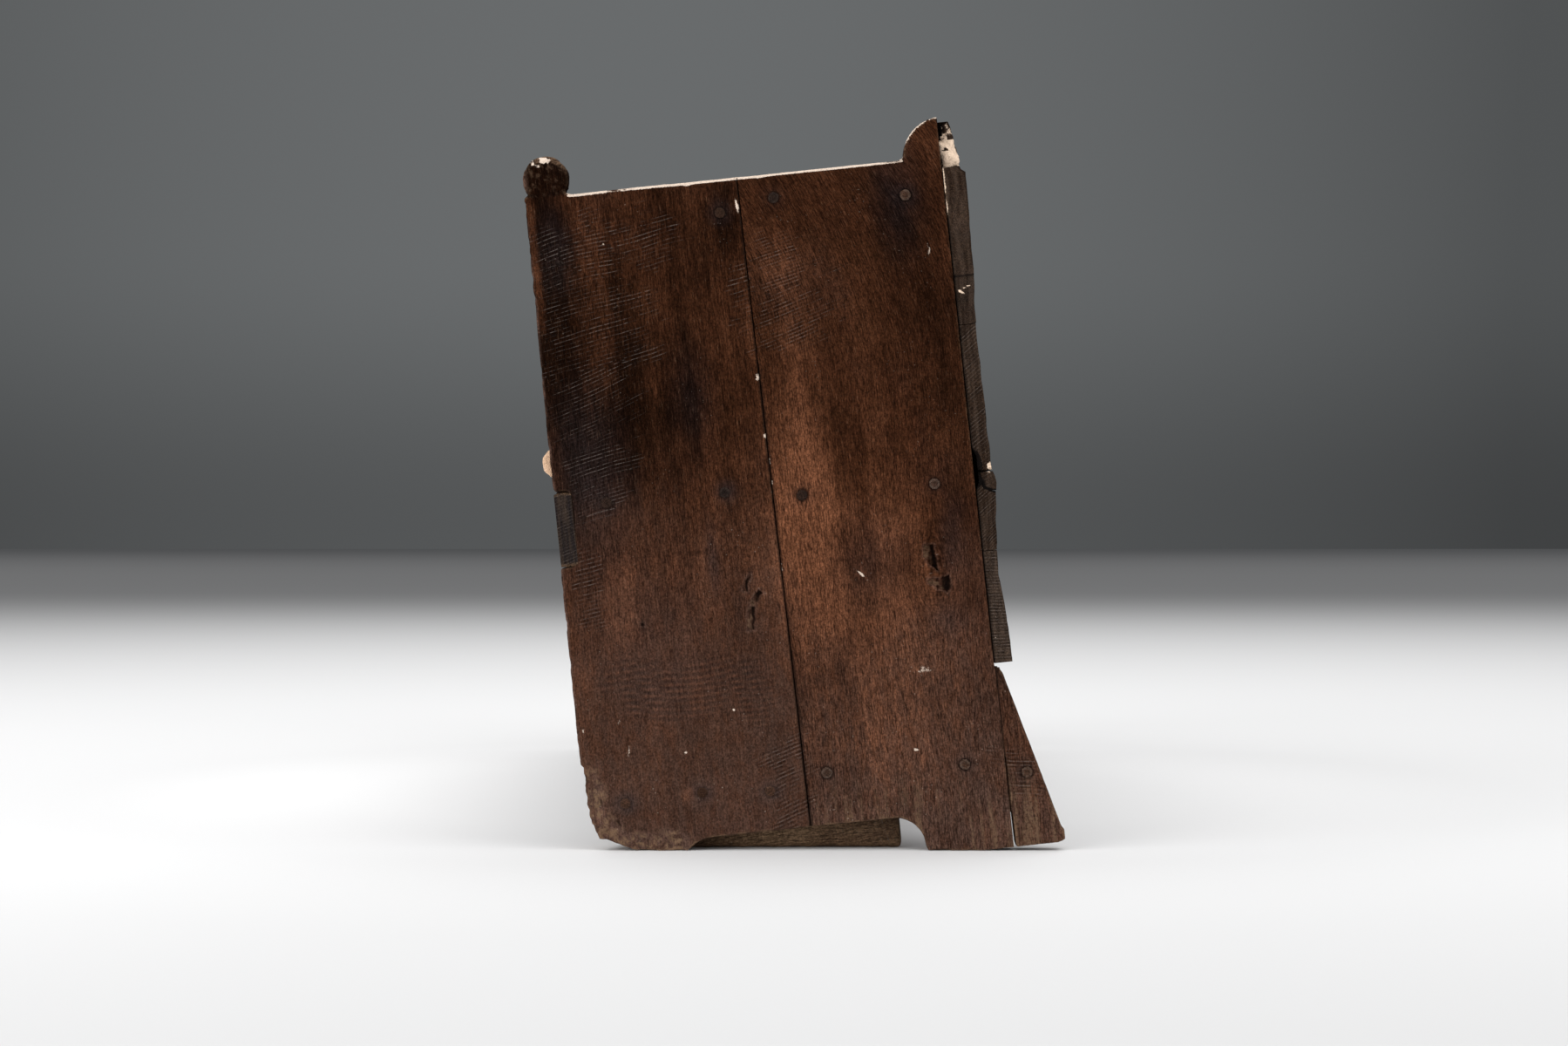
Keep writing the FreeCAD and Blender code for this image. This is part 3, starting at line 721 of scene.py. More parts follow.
# Patina: place, half width, half height, lighter above 0 or darker below
TONES = [
    (14, 650, 40, 210, -0.85),
    (30, 748, 36, 40, -0.40),
    (5, 720, 10, 110, 0.90),
    (46, 96, 9, 18, -0.60),
    (117, 98, 15, 11, 1.0),
    (9, 86, 8, 12, 1.5),
    (74, 530, 76, 150, -0.60),
    (130, 680, 40, 110, 0.16),
    (166, 537, 40, 95, -0.45),
    (214, 742, 52, 52, -0.35),
    (120, 330, 110, 170, 0.34),
    (110, 680, 90, 110, -0.25),
    (184, 355, 24, 90, -0.20),
    (267, 668, 40, 140, 0.30),
    (275, 400, 48, 220, 0.36),
    (350, 320, 130, 240, 0.52),
    (350, 120, 110, 90, 0.36),
    (350, 680, 90, 90, 0.20),
    (440, 748, 76, 70, -0.50),
    (425, 815, 30, 40, -0.30),
    (420, 600, 80, 110, -0.22),
    (448, 70, 34, 90, -0.30),
    (300, 90, 26, 50, -0.25),
    (512, 85, 45, 110, 0.55),
    (490, 40, 14, 60, -0.40),
]
# Grey bloom and old stains: place, half width, half height, strength
STAINS = [
    (40, 470, 56, 120, 0.55),
    (172, 362, 11, 52, 0.60),
    (30, 736, 26, 60, 0.45),
    (478, 40, 7, 32, 0.70),
    (455, 62, 14, 24, 0.40),
    (170, 550, 30, 80, 0.22),
    (90, 290, 90, 110, 0.28),
    (355, 345, 52, 64, 0.32),
    (447, 345, 18, 62, 0.55),
    (425, 765, 36, 90, 0.35),
    (432, 268, 24, 28, 0.45),
    (43, 96, 20, 16, 0.80),
    (132, 99, 18, 14, 0.75),
    (210, 92, 20, 15, 0.70),
    (196, 441, 16, 16, 0.55),
]
# Pale marks where the wood was nicked: place, half width, half height, turn in degrees, strength
NICKS = [
    (456, 688, 2.6, 26, 4, 0.75),
    (340, 330, 3.0, 11, 42, 0.8),
    (135, 182, 3.0, 9, -14, 0.9),
    (53, 150, 5, 24, -6, 0.70),
    (43, 190, 8, 6, 20, 0.85),
    (178, 190, 4, 3.5, 0, 0.8),
    (5, 186, 4, 16, 0, 0.9),
    (242, 765, 3.5, 17, 6, 0.8),
    (243, 566, 4, 12, 6, 0.4),
    (246, 499, 3.5, 11, 2, 0.5),
    (399, 212, 22, 15, 0, 0.46),
    (417, 334, 1.8, 8, 22, 0.7),
    (381, 123, 8, 3.5, -25, 0.7),
    (88, 734, 24, 3.6, -38, 0.75),
    (118, 147, 5, 3, 30, 0.75),
    (60, 738, 7, 2.5, -20, 0.6),
]
# Holes where a knot or bark fell out: outline, depth, share of the hole that is a dark wall of painted shade
HOLES = [
    ([(415, 355), (425, 356), (427, 342), (428, 324), (421, 329), (412, 343)], 9.0, 0.35),
    ([(416, 317), (430, 314), (439, 319), (440, 305), (436, 297), (425, 304), (416, 312)], 6.0, 0.3),
    ([(207, 310), (222, 325), (226, 320), (212, 305)], 4.0, 0.5),
    ([(206, 304), (215, 306), (213, 292), (212, 278), (204, 277)], 3.5, 0.45),
    ([(200, 325), (213, 343), (207, 324)], 2.5, 0.6),
    ([(82, 296), (87, 296), (87, 301), (82, 301)], 3.0, 0.9),
    ([(26, 70), (35, 71), (34, 79), (27, 78)], 2.0, 0.25),
    ([(9, 92), (15, 91), (16, 103), (10, 104)], 2.0, 0.3),
]
HOLE_PLACES = [(424, 328), (212, 300)]
KNOT = HOLE_PLACES[0]
KNOT_TURN, KNOT_REACH = 15 / 18, (30, 55)  # how far the grain bends round the knot, and how wide and high
SLANT_START, SLANT_END, SLANT = 560, 800, 0.5  # the rear board's grain leans forward towards its top
CHAMFER_WIDTH, CHAMFER_DEPTH = 14 * MM, 6 * MM  # of the pared front corner
CHAMFER_START, CHAMFER_FULL = 540, 660
RIM_DROP, RIM_DEPTH = 2.4 * MM, 3.0 * MM  # of the pared upper edge
KNOB_NECK = BOARD_HIGH[Z] / MM - 50
SPOT_FADE = 1.3  # patina and stains fade out this much beyond their listed size
SLIT_TOP = 37 * MM  # light shows through the gap beside the heel below this height
EDGE_SPREAD = -5.0 * MM  # of the front edge at the sole
JOINT_SPREAD = (4.6 * MM, -2.9 * MM)  # of the joint at the sole and at the top
TOE_RADIUS = 52
TOE_LIFT, TOE_END, TOE_RUN = 13 * MM, -179 * MM, 36 * MM  # rise of the sole: height, start and length
LOST_TOP = 146  # the front edge has lost a strip below this height


def stroke_patches(t, u, v, face, patches):
    """Lays straight strokes in patches with ragged edges."""
    ragged = 0.35 * t.noise(45, 31, 2)
    for middle_u, middle_v, half_u, half_v, slope, spacing in patches:
        lean = math.tan(math.radians(slope))
        du, dv = u - middle_u, v - middle_v - lean * (u - middle_u)
        phase = dv / spacing + 0.35 * t.noise(18, 32)
        line = np.floor(phase + 0.25)
        shift = 0.4 * lattice(np.column_stack((line, line + 3, line)), int(middle_v))
        reach = np.maximum(np.abs(du / half_u + shift), np.abs(dv) / half_v) + ragged
        t.stroke(face * fade(0.5, 1.05, reach), phase)


def ripple_patches(t, u, v, face):
    """Lays curved, shallow ripples, with painted light and shade along their waves."""
    for middle_u, middle_v, half_u, half_v, radius, spacing in RIPPLES:
        reach = np.hypot((u - middle_u) / half_u, (v - middle_v) / half_v)
        far = np.hypot(u - middle_u, v - middle_v - radius) - radius
        share = face * fade(0.4, 1.0, reach + 0.3 * t.noise(25, 33, 2))
        wave = share * np.sin(2 * math.pi * (far / spacing + 0.5 * t.noise(9, 34)))
        t.push(0.5 * MM * wave)
        # Painted light and shade: lighter on each wave's crest, darker in its trough.
        t.add("tone", 0.28 * wave)
        t.add("stain", 0.12 * share)


def off_line(u, v, corners):
    """How far each place is from a line through corners."""
    off = np.full(len(u), np.inf)
    for (u0, v0), (u1, v1) in zip(corners, corners[1:]):
        run, rise = u1 - u0, v1 - v0
        share = np.clip(((u - u0) * run + (v - v0) * rise) / (run ** 2 + rise ** 2), 0, 1)
        off = np.minimum(off, np.hypot(u - u0 - share * run, v - v0 - share * rise))
    return off


def depth_in(u, v, outline):
    """How far each place lies inside an outline of (u, v) corners, below 0 outside."""
    closed = outline + outline[:1]
    inside = np.zeros(len(u), bool)
    for (u0, v0), (u1, v1) in zip(closed, closed[1:]):
        if v0 != v1:
            inside ^= ((v0 > v) != (v1 > v)) & (u < u0 + (u1 - u0) * (v - v0) / (v1 - v0))
    off = off_line(u, v, closed)
    return np.where(inside, off, -off)


def sink_holes(t, u, v, face, holes):
    """Sinks holes that slope in from their front side to their rear side, with painted shade on the rear wall
    and painted light on the front slope.
    """
    ragged_u, ragged_v = 1.4 * t.noise(130, 41, 2), 1.4 * t.noise(130, 44, 2)
    for outline, depth, shade_share in holes:
        inside = depth_in(u + ragged_u, v + ragged_v, outline)
        dip = ease(-0.8, 1.2, inside) * face
        front, rear = min(u0 for u0, _ in outline), max(u0 for u0, _ in outline)
        across = (u + ragged_u - front) / (rear - front)
        t.x -= np.sign(t.x) * depth * MM * dip * np.clip(0.3 + across, 0, 1)
        wall = ease(0.85 - shade_share, 1.1 - shade_share, across)
        # Painted shade on the hole's rear wall, and painted light on its front slope through the wear mask.
        t.add("dirt_and_shade", dip * wall)
        t.add("stain", 0.3 * dip * (1 - wall))
        t.add("wear_and_highlight", 0.8 * dip * (1 - wall) * t.blots(-0.4, 0.4, 200, 45))
        lip = ease(-3.5, -0.5, inside) * (1 - dip) * face
        t.add("dry_and_lit", 0.45 * lip)


def bend_grain(t, u, v):
    """Leans the rear board's grain towards its top and turns it round the knot."""
    rise = np.clip((v - SLANT_START) / (SLANT_END - SLANT_START), 0, 1.3)
    lean = SLANT * (SLANT_END - SLANT_START) / 2 * rise ** 2
    du, dv = u - KNOT[0], v - KNOT[1]
    round_knot = KNOT_TURN * du * np.exp(-(du / KNOT_REACH[0]) ** 2 - (dv / KNOT_REACH[1]) ** 2)
    t.grain[:, 0] += (lean - round_knot) * MM


def mark_right_end(t):
    """The real bench's marks, on whichever board of the right end this is."""
    u, v = t.rear_and_up()
    face = ease(0.3, 0.7, t.normals()[:, X])
    if t.node == "right_rear_board":
        bend_grain(t, u, v)
    for mask, places in (("tone", TONES), ("stain", STAINS)):
        for middle_u, middle_v, half_u, half_v, amount in places:
            radii = (SPOT_FADE * half_u, SPOT_FADE * half_v)
            t.add(mask, amount * spot(u, v, (middle_u, middle_v), radii))
    ragged = 0.8 * t.noise(140, 43, 2)
    for middle_u, middle_v, half_u, half_v, turn, amount in NICKS:
        mark = spot(u + ragged, v, (middle_u, middle_v), (half_u, half_v), turn)
        t.add("pale", amount * face * mark * np.clip(0.7 + 0.6 * t.noise(120, 42), 0, 1))
    stroke_patches(t, u, v, face, STROKES)
    ripple_patches(t, u, v, face)
    sink_holes(t, u, v, face, HOLES)


def random_marks(t, outward, seed):
    """Marks of the same kinds at random places on the left end."""
    draw = np.random.default_rng(seed)
    u, v = t.rear_and_up()
    face = ease(0.3, 0.7, t.normals()[:, X] * outward)
    low, high = t.low / MM, t.high / MM
    patches = []
    for _ in range(5):
        place = draw.uniform(low[1:], high[1:])
        patches.append((*place, draw.uniform(18, 50), draw.uniform(25, 50), draw.uniform(-12, 12),
                        draw.uniform(5, 8)))
        t.add("tone", draw.uniform(-0.5, 0.45) * spot(u, v, draw.uniform(low[1:], high[1:]), (60, 160)))
    stroke_patches(t, u, v, face, patches)
    nick = draw.uniform(low[1:], high[1:])
    corners = [(-7, 4), (3, 16), (8, -2), (1, -17)]
    sink_holes(t, u, v, face, [([(nick[0] + du, nick[1] + dv) for du, dv in corners], 4.0, 0.6)])


def pare_front_corner(t, v, outward):
    """Takes a slice off the outer front corner, wide towards the top."""
    high_up = ease(CHAMFER_START, CHAMFER_FULL, v)
    width = CHAMFER_WIDTH * high_up + 3 * MM
    depth = CHAMFER_DEPTH * high_up + 1.5 * MM
    pared = OUTER_X - depth * np.clip(1 - t.y / width, 0, 1)
    outer = t.x * outward
    t.masks["wear_and_highlight"] *= 1 - 0.7 * (t.y < width)
    t.x = np.where(v < KNOB_NECK, np.minimum(outer, pared), outer) * outward


def crumble_toe(t, u, v):
    """Rounds and crumbles the toe and lifts its sole off the floor."""
    height = to_row(t.co)[:, Z] / MM
    round_toe = TOE_RADIUS - np.hypot(np.minimum(u - TOE_RADIUS, 0), np.minimum(height - TOE_RADIUS, 0))
    inside = np.where((u < TOE_RADIUS) & (height < TOE_RADIUS), round_toe, np.minimum(u, height))
    toe = fade(6, 27, inside + 5 * t.noise(60, 51, 2)) * fade(110, 160, v)
    toe = toe * fade(90, 130, u)
    t.push(-MM * toe * (1.2 + 2.4 * t.noise(110, 52, 2)))
    t.add("dry_and_lit", 0.95 * toe)
    t.add("wear_and_highlight", 1.8 * toe * t.blots(0.0, 0.5, 210, 57, 3))
    row = to_row(t.co)
    lift = TOE_LIFT * np.clip((TOE_END - row[:, Y]) / TOE_RUN, 0, 1)
    row[:, Z] = np.maximum(row[:, Z], lift)
    t.co = to_square(row)


def chew_front_edge(t, u, v):
    """Takes crumbs off the front edge, and a strip off its lower part."""
    lost = ease(LOST_TOP, LOST_TOP - 5, v) * ease(9, 0, u)
    t.y += 3.5 * MM * lost
    from_edge = t.grain[:, 0] / MM
    edge = ease(9, 1, from_edge) * ease(0, 8 * MM, np.abs(t.x) - INNER_X)
    crumbled = np.clip(0.2 + t.noise(95, 55, 3), 0, 1.2) * edge
    t.y += 1.3 * MM * crumbled
    t.add("dry_and_lit", 0.8 * ease(3.5, 0.5, from_edge) * t.patches(0.5, 50, 56, 2))


def batter_knob(t, u, v, outward):
    """Dents and darkens the knob, with painted highlights: pale mottling, a pale scuff on its upper front,
    and a lighter strip down the front of the ball where light catches it.
    """
    knob = ease(KNOB_NECK, KNOB_NECK + 12, v)
    t.push(MM * knob * (0.7 + 0.9 * t.noise(130, 53, 2)))
    # Painted highlight: pale mottling on the knob.
    t.add("wear_and_highlight", 0.35 * knob * t.blots(0.3, 0.8, 260, 54, 2))
    t.add("tone", -1.1 * knob)
    ball_u, ball_v = KNOB_MIDDLE[0] / MM, KNOB_MIDDLE[1] / MM
    # Painted highlight: a pale scuff on the knob's upper front.
    scuffed = knob * spot(u, v, (ball_u - 5, ball_v + 21), (26, 14), 15)
    scuffed *= towards_end(14, 6, t.x * outward)
    t.add("pale", 1.1 * scuffed * t.blots(-0.3, 0.5, (60, 150, 150), 58, 2))
    # Painted light: a lighter strip down the front of the ball.
    t.add("dry_and_lit", 0.9 * knob * spot(u, v, (ball_u - 26, ball_v), (9, 26)))


def wear_front_board(t, outward):
    """What only the front board has: a pared corner, a crumbled toe and a battered knob."""
    u, v = t.rear_and_up()
    pare_front_corner(t, v, outward)
    crumble_toe(t, u, v)
    chew_front_edge(t, u, v)
    batter_knob(t, u, v, outward)


def taper(t):
    """The boards aren't quite straight: the front edge and the joint both lean a little of their own."""
    share = np.clip(t.z / BOARD_HIGH[Z], 0, 1)
    front = EDGE_SPREAD * (1 - share)
    joint = JOINT_SPREAD[0] + (JOINT_SPREAD[1] - JOINT_SPREAD[0]) * share
    across = t.y / JOINT_Y
    behind = np.clip((REAR_Y - t.y) / (REAR_Y - JOINT_Y), 0, 1)
    t.y += np.where(across < 1, front + (joint - front) * across, joint * behind)


def close_joint(t):
    """Brings the two boards together behind their outer corners, so that no light shows through."""
    depth = np.minimum(np.abs(t.x) - INNER_X, OUTER_X - np.abs(t.x))
    inside = ease(3 * MM, 6 * MM, depth)
    gap = (REAR_LOW[Y] - BOARD_HIGH[Y]) / 2
    t.y += gap * inside * (t.grain[:, 0] > BOARD_HIGH[Y] - MM) * (t.grain[:, 0] < JOINT_Y)
    t.y -= gap * inside * (t.grain[:, 0] < REAR_LOW[Y] + MM) * (t.grain[:, 0] > JOINT_Y)


def close_heel(t):
    """Narrows the gap beside the heel, closes it inside down to where light shows through, and paints shade
    along it.
    """
    ahead = t.grain[:, 0] - REAR_Y
    depth = np.minimum(np.abs(t.x) - INNER_X, OUTER_X - np.abs(t.x))
    inside = ease(1 * MM, 4 * MM, depth) * ease(SLIT_TOP, SLIT_TOP + 5 * MM, t.z)
    t.y -= ahead * (0.2 + 0.8 * inside) * fade(4 * MM, 8 * MM, ahead)
    # Painted shade along the gap beside the heel.
    t.add("dirt_and_shade", 0.9 * fade(1.4 * MM, 3.0 * MM, ahead))


def pare_top(t, outward):
    """Takes the sharpness off the upper edge, on its outer side."""
    y, z = t.y, t.z
    on_ear = y > REAR_Y - EAR_RADIUS
    below = np.where(on_ear, EAR_RADIUS - np.hypot(y - REAR_Y, z - TOP_EDGE), TOP_EDGE - z)
    rim = (y > KNOB_MIDDLE[0] + KNOB_RADIUS) & (below > -MM) & (~on_ear | (z > TOP_EDGE))
    pared = OUTER_X - RIM_DEPTH * np.clip(1 - below / RIM_DROP, 0, 1) * rim
    t.x = np.minimum(t.x * outward, pared) * outward


def round_off(t, middle, radius):
    """Puts points that lie close to a round outline above the long edge onto it."""
    dy, dz = t.y - middle[0], t.z - middle[1]
    far = np.hypot(dy, dz)
    near = (np.abs(far - radius) < 0.75 * t.voxel) & (t.z > TOP_EDGE + 2 * MM)
    t.co[near, Y] = middle[0] + dy[near] * radius / far[near]
    t.co[near, Z] = middle[1] + dz[near] * radius / far[near]


def part_from_planks(t):
    """A rebate down the outer rear corner, beside the planks of the back, with painted shade on the rear face
    inside it.
    """
    x, y = np.abs(t.x), t.grain[:, 0]
    beside = ease(HEEL_TOP - 5 * MM, HEEL_TOP + 10 * MM, t.z)
    outer = towards_end(11, 6, x)
    t.y -= 1.2 * MM * beside * outer * ease(REAR_Y - 25 * MM, REAR_Y - 2 * MM, y)
    inside = 1 - towards_end(6, 3, x)
    # Painted shade on the rear face, where it meets the planks.
    t.add("dirt_and_shade", beside * inside * (x > INNER_X + 5 * MM) * (y > REAR_Y - 3 * MM))


def top_rim(t):
    """Rubbed wood on the upper edges, with a painted highlight along their outer side where they face up."""
    upward = ease(0.2, 0.5, t.normals()[:, Z]) * ease(700, 760, t.z / MM)
    outer = towards_end(8, 5, np.abs(t.x))
    outer *= t.y > KNOB_MIDDLE[0] + KNOB_RADIUS - 2 * MM
    # Painted highlight: the outer rim of the upper edges turned pale where it faces up.
    t.add("pale", upward * outer * np.clip(1.0 + 0.5 * t.noise(34, 63, 2), 0, 1.2))
    t.add("wear_and_highlight", 0.7 * upward * (1 - outer))


def wear_low_part(t, name):
    """Dust, pale fibres and rubbed edges towards the floor."""
    height = t.z / MM
    dust_top = 560 if name == "front_board" else 400
    low_down = fade(40, dust_top, height + 60 * t.noise(12, 61, 2))
    t.add("dry_and_lit", (0.4 if name == "heel_board" else 0.55) * low_down)
    if name == "front_board":
        t.add("calm", low_down)
    else:
        foot = fade(30, 110, height)
        t.add("wear_and_highlight", 0.8 * foot * t.blots(0.1, 0.7, t.along(170, 9), 66, 2))
        t.add("dry_and_lit", 0.15 * foot)
    low_edge = ease(0.12, 0.5, t.bulge(12)) * fade(60, 130, height)
    t.add("wear_and_highlight", 1.5 * low_edge * t.blots(-0.5, 0.4, 70, 64, 2))


def mark_joint(t, near_joint):
    """Painted shade as a dark line along the joint, with a few pale chips. Wear stays off the edges that
    meet.
    """
    off_joint = np.abs(t.grain[:, 0] - JOINT_Y)
    # Painted shade in the joint.
    t.add("dirt_and_shade", 0.8 * fade(0.6 * MM, 1.8 * MM, off_joint))
    seam = fade(1 * MM, 5 * MM, off_joint)
    t.add("pale", 0.45 * seam * t.blots(0.7, 1.0, 90, 62, 2))
    t.masks["wear_and_highlight"] *= 1 - 0.6 * fade(2 * MM, 6 * MM, near_joint)


def end_board(side, name, outward, seed):
    """One board of a plank end."""
    def outer_face(middle, normal):
        return outward > 0 and normal.x > 0.6 and middle.x > OUTER_X - 2 * MM

    def by_holes(middle, normal):
        return outer_face(middle, normal) and any(
            math.hypot(middle.y / MM - u, middle.z / MM - v) < 40 for u, v in HOLE_PLACES)
    t = Timber(f"{side}_{name}", (Y, Z, X), 3.5 * MM, seed, [outer_face, by_holes])
    taper(t)
    near_joint = np.minimum(np.abs(t.grain[:, 0] - JOINT_Y), np.abs(t.grain[:, 0] - REAR_Y))
    close_joint(t)
    pare_top(t, outward)
    if name == "front_board":
        round_off(t, KNOB_MIDDLE, KNOB_RADIUS)
    if name == "rear_board":
        round_off(t, (REAR_Y, TOP_EDGE), EAR_RADIUS)
        part_from_planks(t)
    if name == "heel_board":
        close_heel(t)
    keen = 0.95 * fade(3 * MM, 8 * MM, near_joint)
    weather(t, rounding=3, chip=1.4 * MM, wave=0.5 * MM, keen=keen)
    top_rim(t)
    if name == "front_board":
        wear_front_board(t, outward)
    if side == "right":
        mark_right_end(t)
    else:
        random_marks(t, outward, seed)
    t.cut_strokes((1.3 if name == "heel_board" else 0.6) * MM)
    ring_pegs(t, f"{side}_end_pegs", X)
    wear_low_part(t, name)
    t.add("tone", 0.17 * t.noise(t.along(30, 5), 65, 3))
    mark_joint(t, near_joint)
    t.masks["dry_and_lit"] = np.clip(t.masks["dry_and_lit"], 0, 1)
    put_in_place(t, END_OAK)


for side, outward, seed in (("right", 1, 11), ("left", -1, 21)):
    for number, name in enumerate(("front_board", "rear_board", "heel_board")):
        end_board(side, name, outward, seed + number)


# The back. Its planks end in the open at the right, where they are chewed, split and broken. Places and
# heights are millimetres as on the ends.

END_SAWING = {  # slope of the saw marks across a plank's end, in degrees, their spacing and strength
    "lower_back_plank": (-4, 3.6, 1.0),
    "narrow_back_plank": (38, 4.0, 0.8),
    "middle_back_plank": (34, 4.5, 0.8),
    "upper_back_plank": (72, 4.0, 0.25),
    "split_corner": (30, 4.0, 0.4),
    "crest_board": (0, 6.0, 0.0),
}
END_TONES = {"upper_back_plank": -0.1, "lower_back_plank": 0.6}  # of the sawn ends, where not the usual
USUAL_END_TONE = 0.2
VOID, VOID_RADII = (483, 436), (10, 34)  # the hole left by the split
SPLIT_SEAM = 431  # height of the open seam between the narrow plank and the middle one
FRACTURE = ((485, 430), (491, 413), (504, 408))  # line along which the corner split off
CHIP, CHIP_RADII = (501, 437), (8, 11)  # pale chip at the rear, above the split corner
WORN_HEIGHTS = (212, 245, 312, 345, 418, 435, 600, 665, 782, 788)
WORN_OFF = (-1.0, -1.5, 4.4, 4.0, -2.5, 0.0, 0.0, -4.5, -6.0, 0.0)  # from the planks' rear faces there
CORNER_FORWARD, CORNER_WIDER, CORNER_PROUD = 4 * MM, 3 * MM, 0.8 * MM  # how the split corner sits
CRACK = 658  # height of the crack across the upper plank's end
LIGHT_GAP_FOOT = 722  # painted light, where light shows through the gap beside the end, runs up the upper plank's front corner from here
BREAK_DEPTHS = (30 * MM, 7 * MM)  # of the crest board's broken end, at its base and at its top
BREAK_SETBACK, BREAK_BULGE = 18 * MM, 9 * MM  # of the ragged face, and of its bare part out of it
BREAK_BARE = 812  # the break is bare wood up to here
CREST_DROP = 7 * MM  # how far the break hangs over the upper plank's corner


def rear_wear(x, v):
    """How far the rear of the planks is worn off towards their right ends."""
    return towards_end(90, 35, x) * np.interp(v, WORN_HEIGHTS, WORN_OFF) * MM


def open_split(t, u, v, right):
    """The hole, with painted shade in it, and the open seam where the corner split off."""
    hole = right * spot(u, v, VOID, VOID_RADII)
    t.y += 4 * MM * ease(0.1, 0.6, hole)
    # Painted shade in the hole.
    t.add("dirt_and_shade", ease(0.1, 0.5, hole))
    seam = right * fade(0, 10, np.abs(v - SPLIT_SEAM))
    t.z += 1.0 * MM * seam * np.sign(v - SPLIT_SEAM)


def hang_corner(t, u, v, right):
    """The upper plank's end: a hanging corner, painted light along its front corner where light shows through
    the gap beside the end, a crack with painted shade in it, and two scuffs below it.
    """
    t.z -= CREST_DROP * right * ease(t.high[Z] - 25 * MM, t.high[Z] - 2 * MM, t.z)
    at_front = fade(0.5, 2.2, u - REAR_Y / MM)
    # Painted light: pale along the front corner, where light shows through the gap beside the end.
    light_gap = right * at_front * ease(LIGHT_GAP_FOOT, LIGHT_GAP_FOOT + 16, v)
    t.masks["dirt_and_shade"] *= 1 - light_gap
    t.add("pale", 0.75 * light_gap * t.patches(0.8, 60, 80, 2))
    t.add("tone", 0.3 * right * ease(CRACK - 2, CRACK + 2, v))
    # Painted shade in the crack.
    t.add("dirt_and_shade", right * np.exp(-((v - CRACK) / 1.2) ** 2))
    scuff = spot(u, v, (493, CRACK - 13), (15, 2.5), 25) + spot(u, v, (488, CRACK - 19), (10, 2.5), -35)
    t.add("pale", 0.7 * right * scuff)


def break_crest(t, v):
    """The crest board's end: set back, ragged, hanging and pale where it broke last."""
    share = (t.z - t.low[Z]) / (t.high[Z] - t.low[Z])
    cut = OUTER_X - BREAK_DEPTHS[0] + (BREAK_DEPTHS[0] - BREAK_DEPTHS[1]) * share
    jagged = ease(cut - 5 * MM, cut - 1.5 * MM, t.x)
    bared = jagged * fade(BREAK_BARE, BREAK_BARE + 6, v + 3 * t.noise(80, 83))
    t.x += jagged * (OUTER_X - BREAK_SETBACK - cut) + BREAK_BULGE * bared
    t.push(3.0 * MM * jagged * t.noise(90, 82, 3))
    t.z -= CREST_DROP * jagged * fade(0.0, 0.5, share)
    t.add("pale", 1.6 * bared * (1 - t.blots(0.65, 0.85, (40, 80, 120), 89, 2)))
    t.add("pale", 0.55 * (jagged - bared) * t.blots(-0.3, 0.5, 150, 90, 2))
    t.add("dirt_and_shade", jagged * t.blots(0.6, 0.85, (40, 60, 120), 84, 2))


def set_corner(t, right):
    """The split corner: set forward, wider at its front and a little proud, with rubbed edges."""
    t.y -= CORNER_FORWARD + CORNER_WIDER * (t.high[Y] - t.y) / (t.high[Y] - t.low[Y])
    t.x += CORNER_PROUD * right
    t.add("pale", 0.75 * t.masks["wear_and_highlight"])


def mark_fracture(t, right):
    """A crack with painted shade in it, and broken pale lips along the fracture."""
    off = off_line(*t.rear_and_up(), FRACTURE)
    lip = right * ease(1.6, 2.4, off) * fade(2.6, 3.8, off)
    t.add("pale", 0.4 * lip * t.patches(0.4, 90, 79, 2))
    # Painted shade in the crack.
    t.add("dirt_and_shade", 1.5 * right * fade(1.4, 2.4, off))


def saw_plank(t, u, v):
    """Saw marks across a plank's right end and its outside. Returns where these two are."""
    slope, spacing, strength = END_SAWING[t.node]
    end_face = t.masks["end"] * (t.x > 0)
    t.stroke(strength * end_face, (v - math.tan(math.radians(slope)) * u) / spacing)
    outside = ease(0.4, 0.8, t.normals()[:, Y])
    kerfs = t.blots(-0.1, 0.4, (3, 3, 5), 85, 2) * outside
    t.stroke(0.5 * kerfs, t.x / MM / 9 + 0.02 * v)
    t.cut_strokes(0.5 * MM)
    return end_face, outside


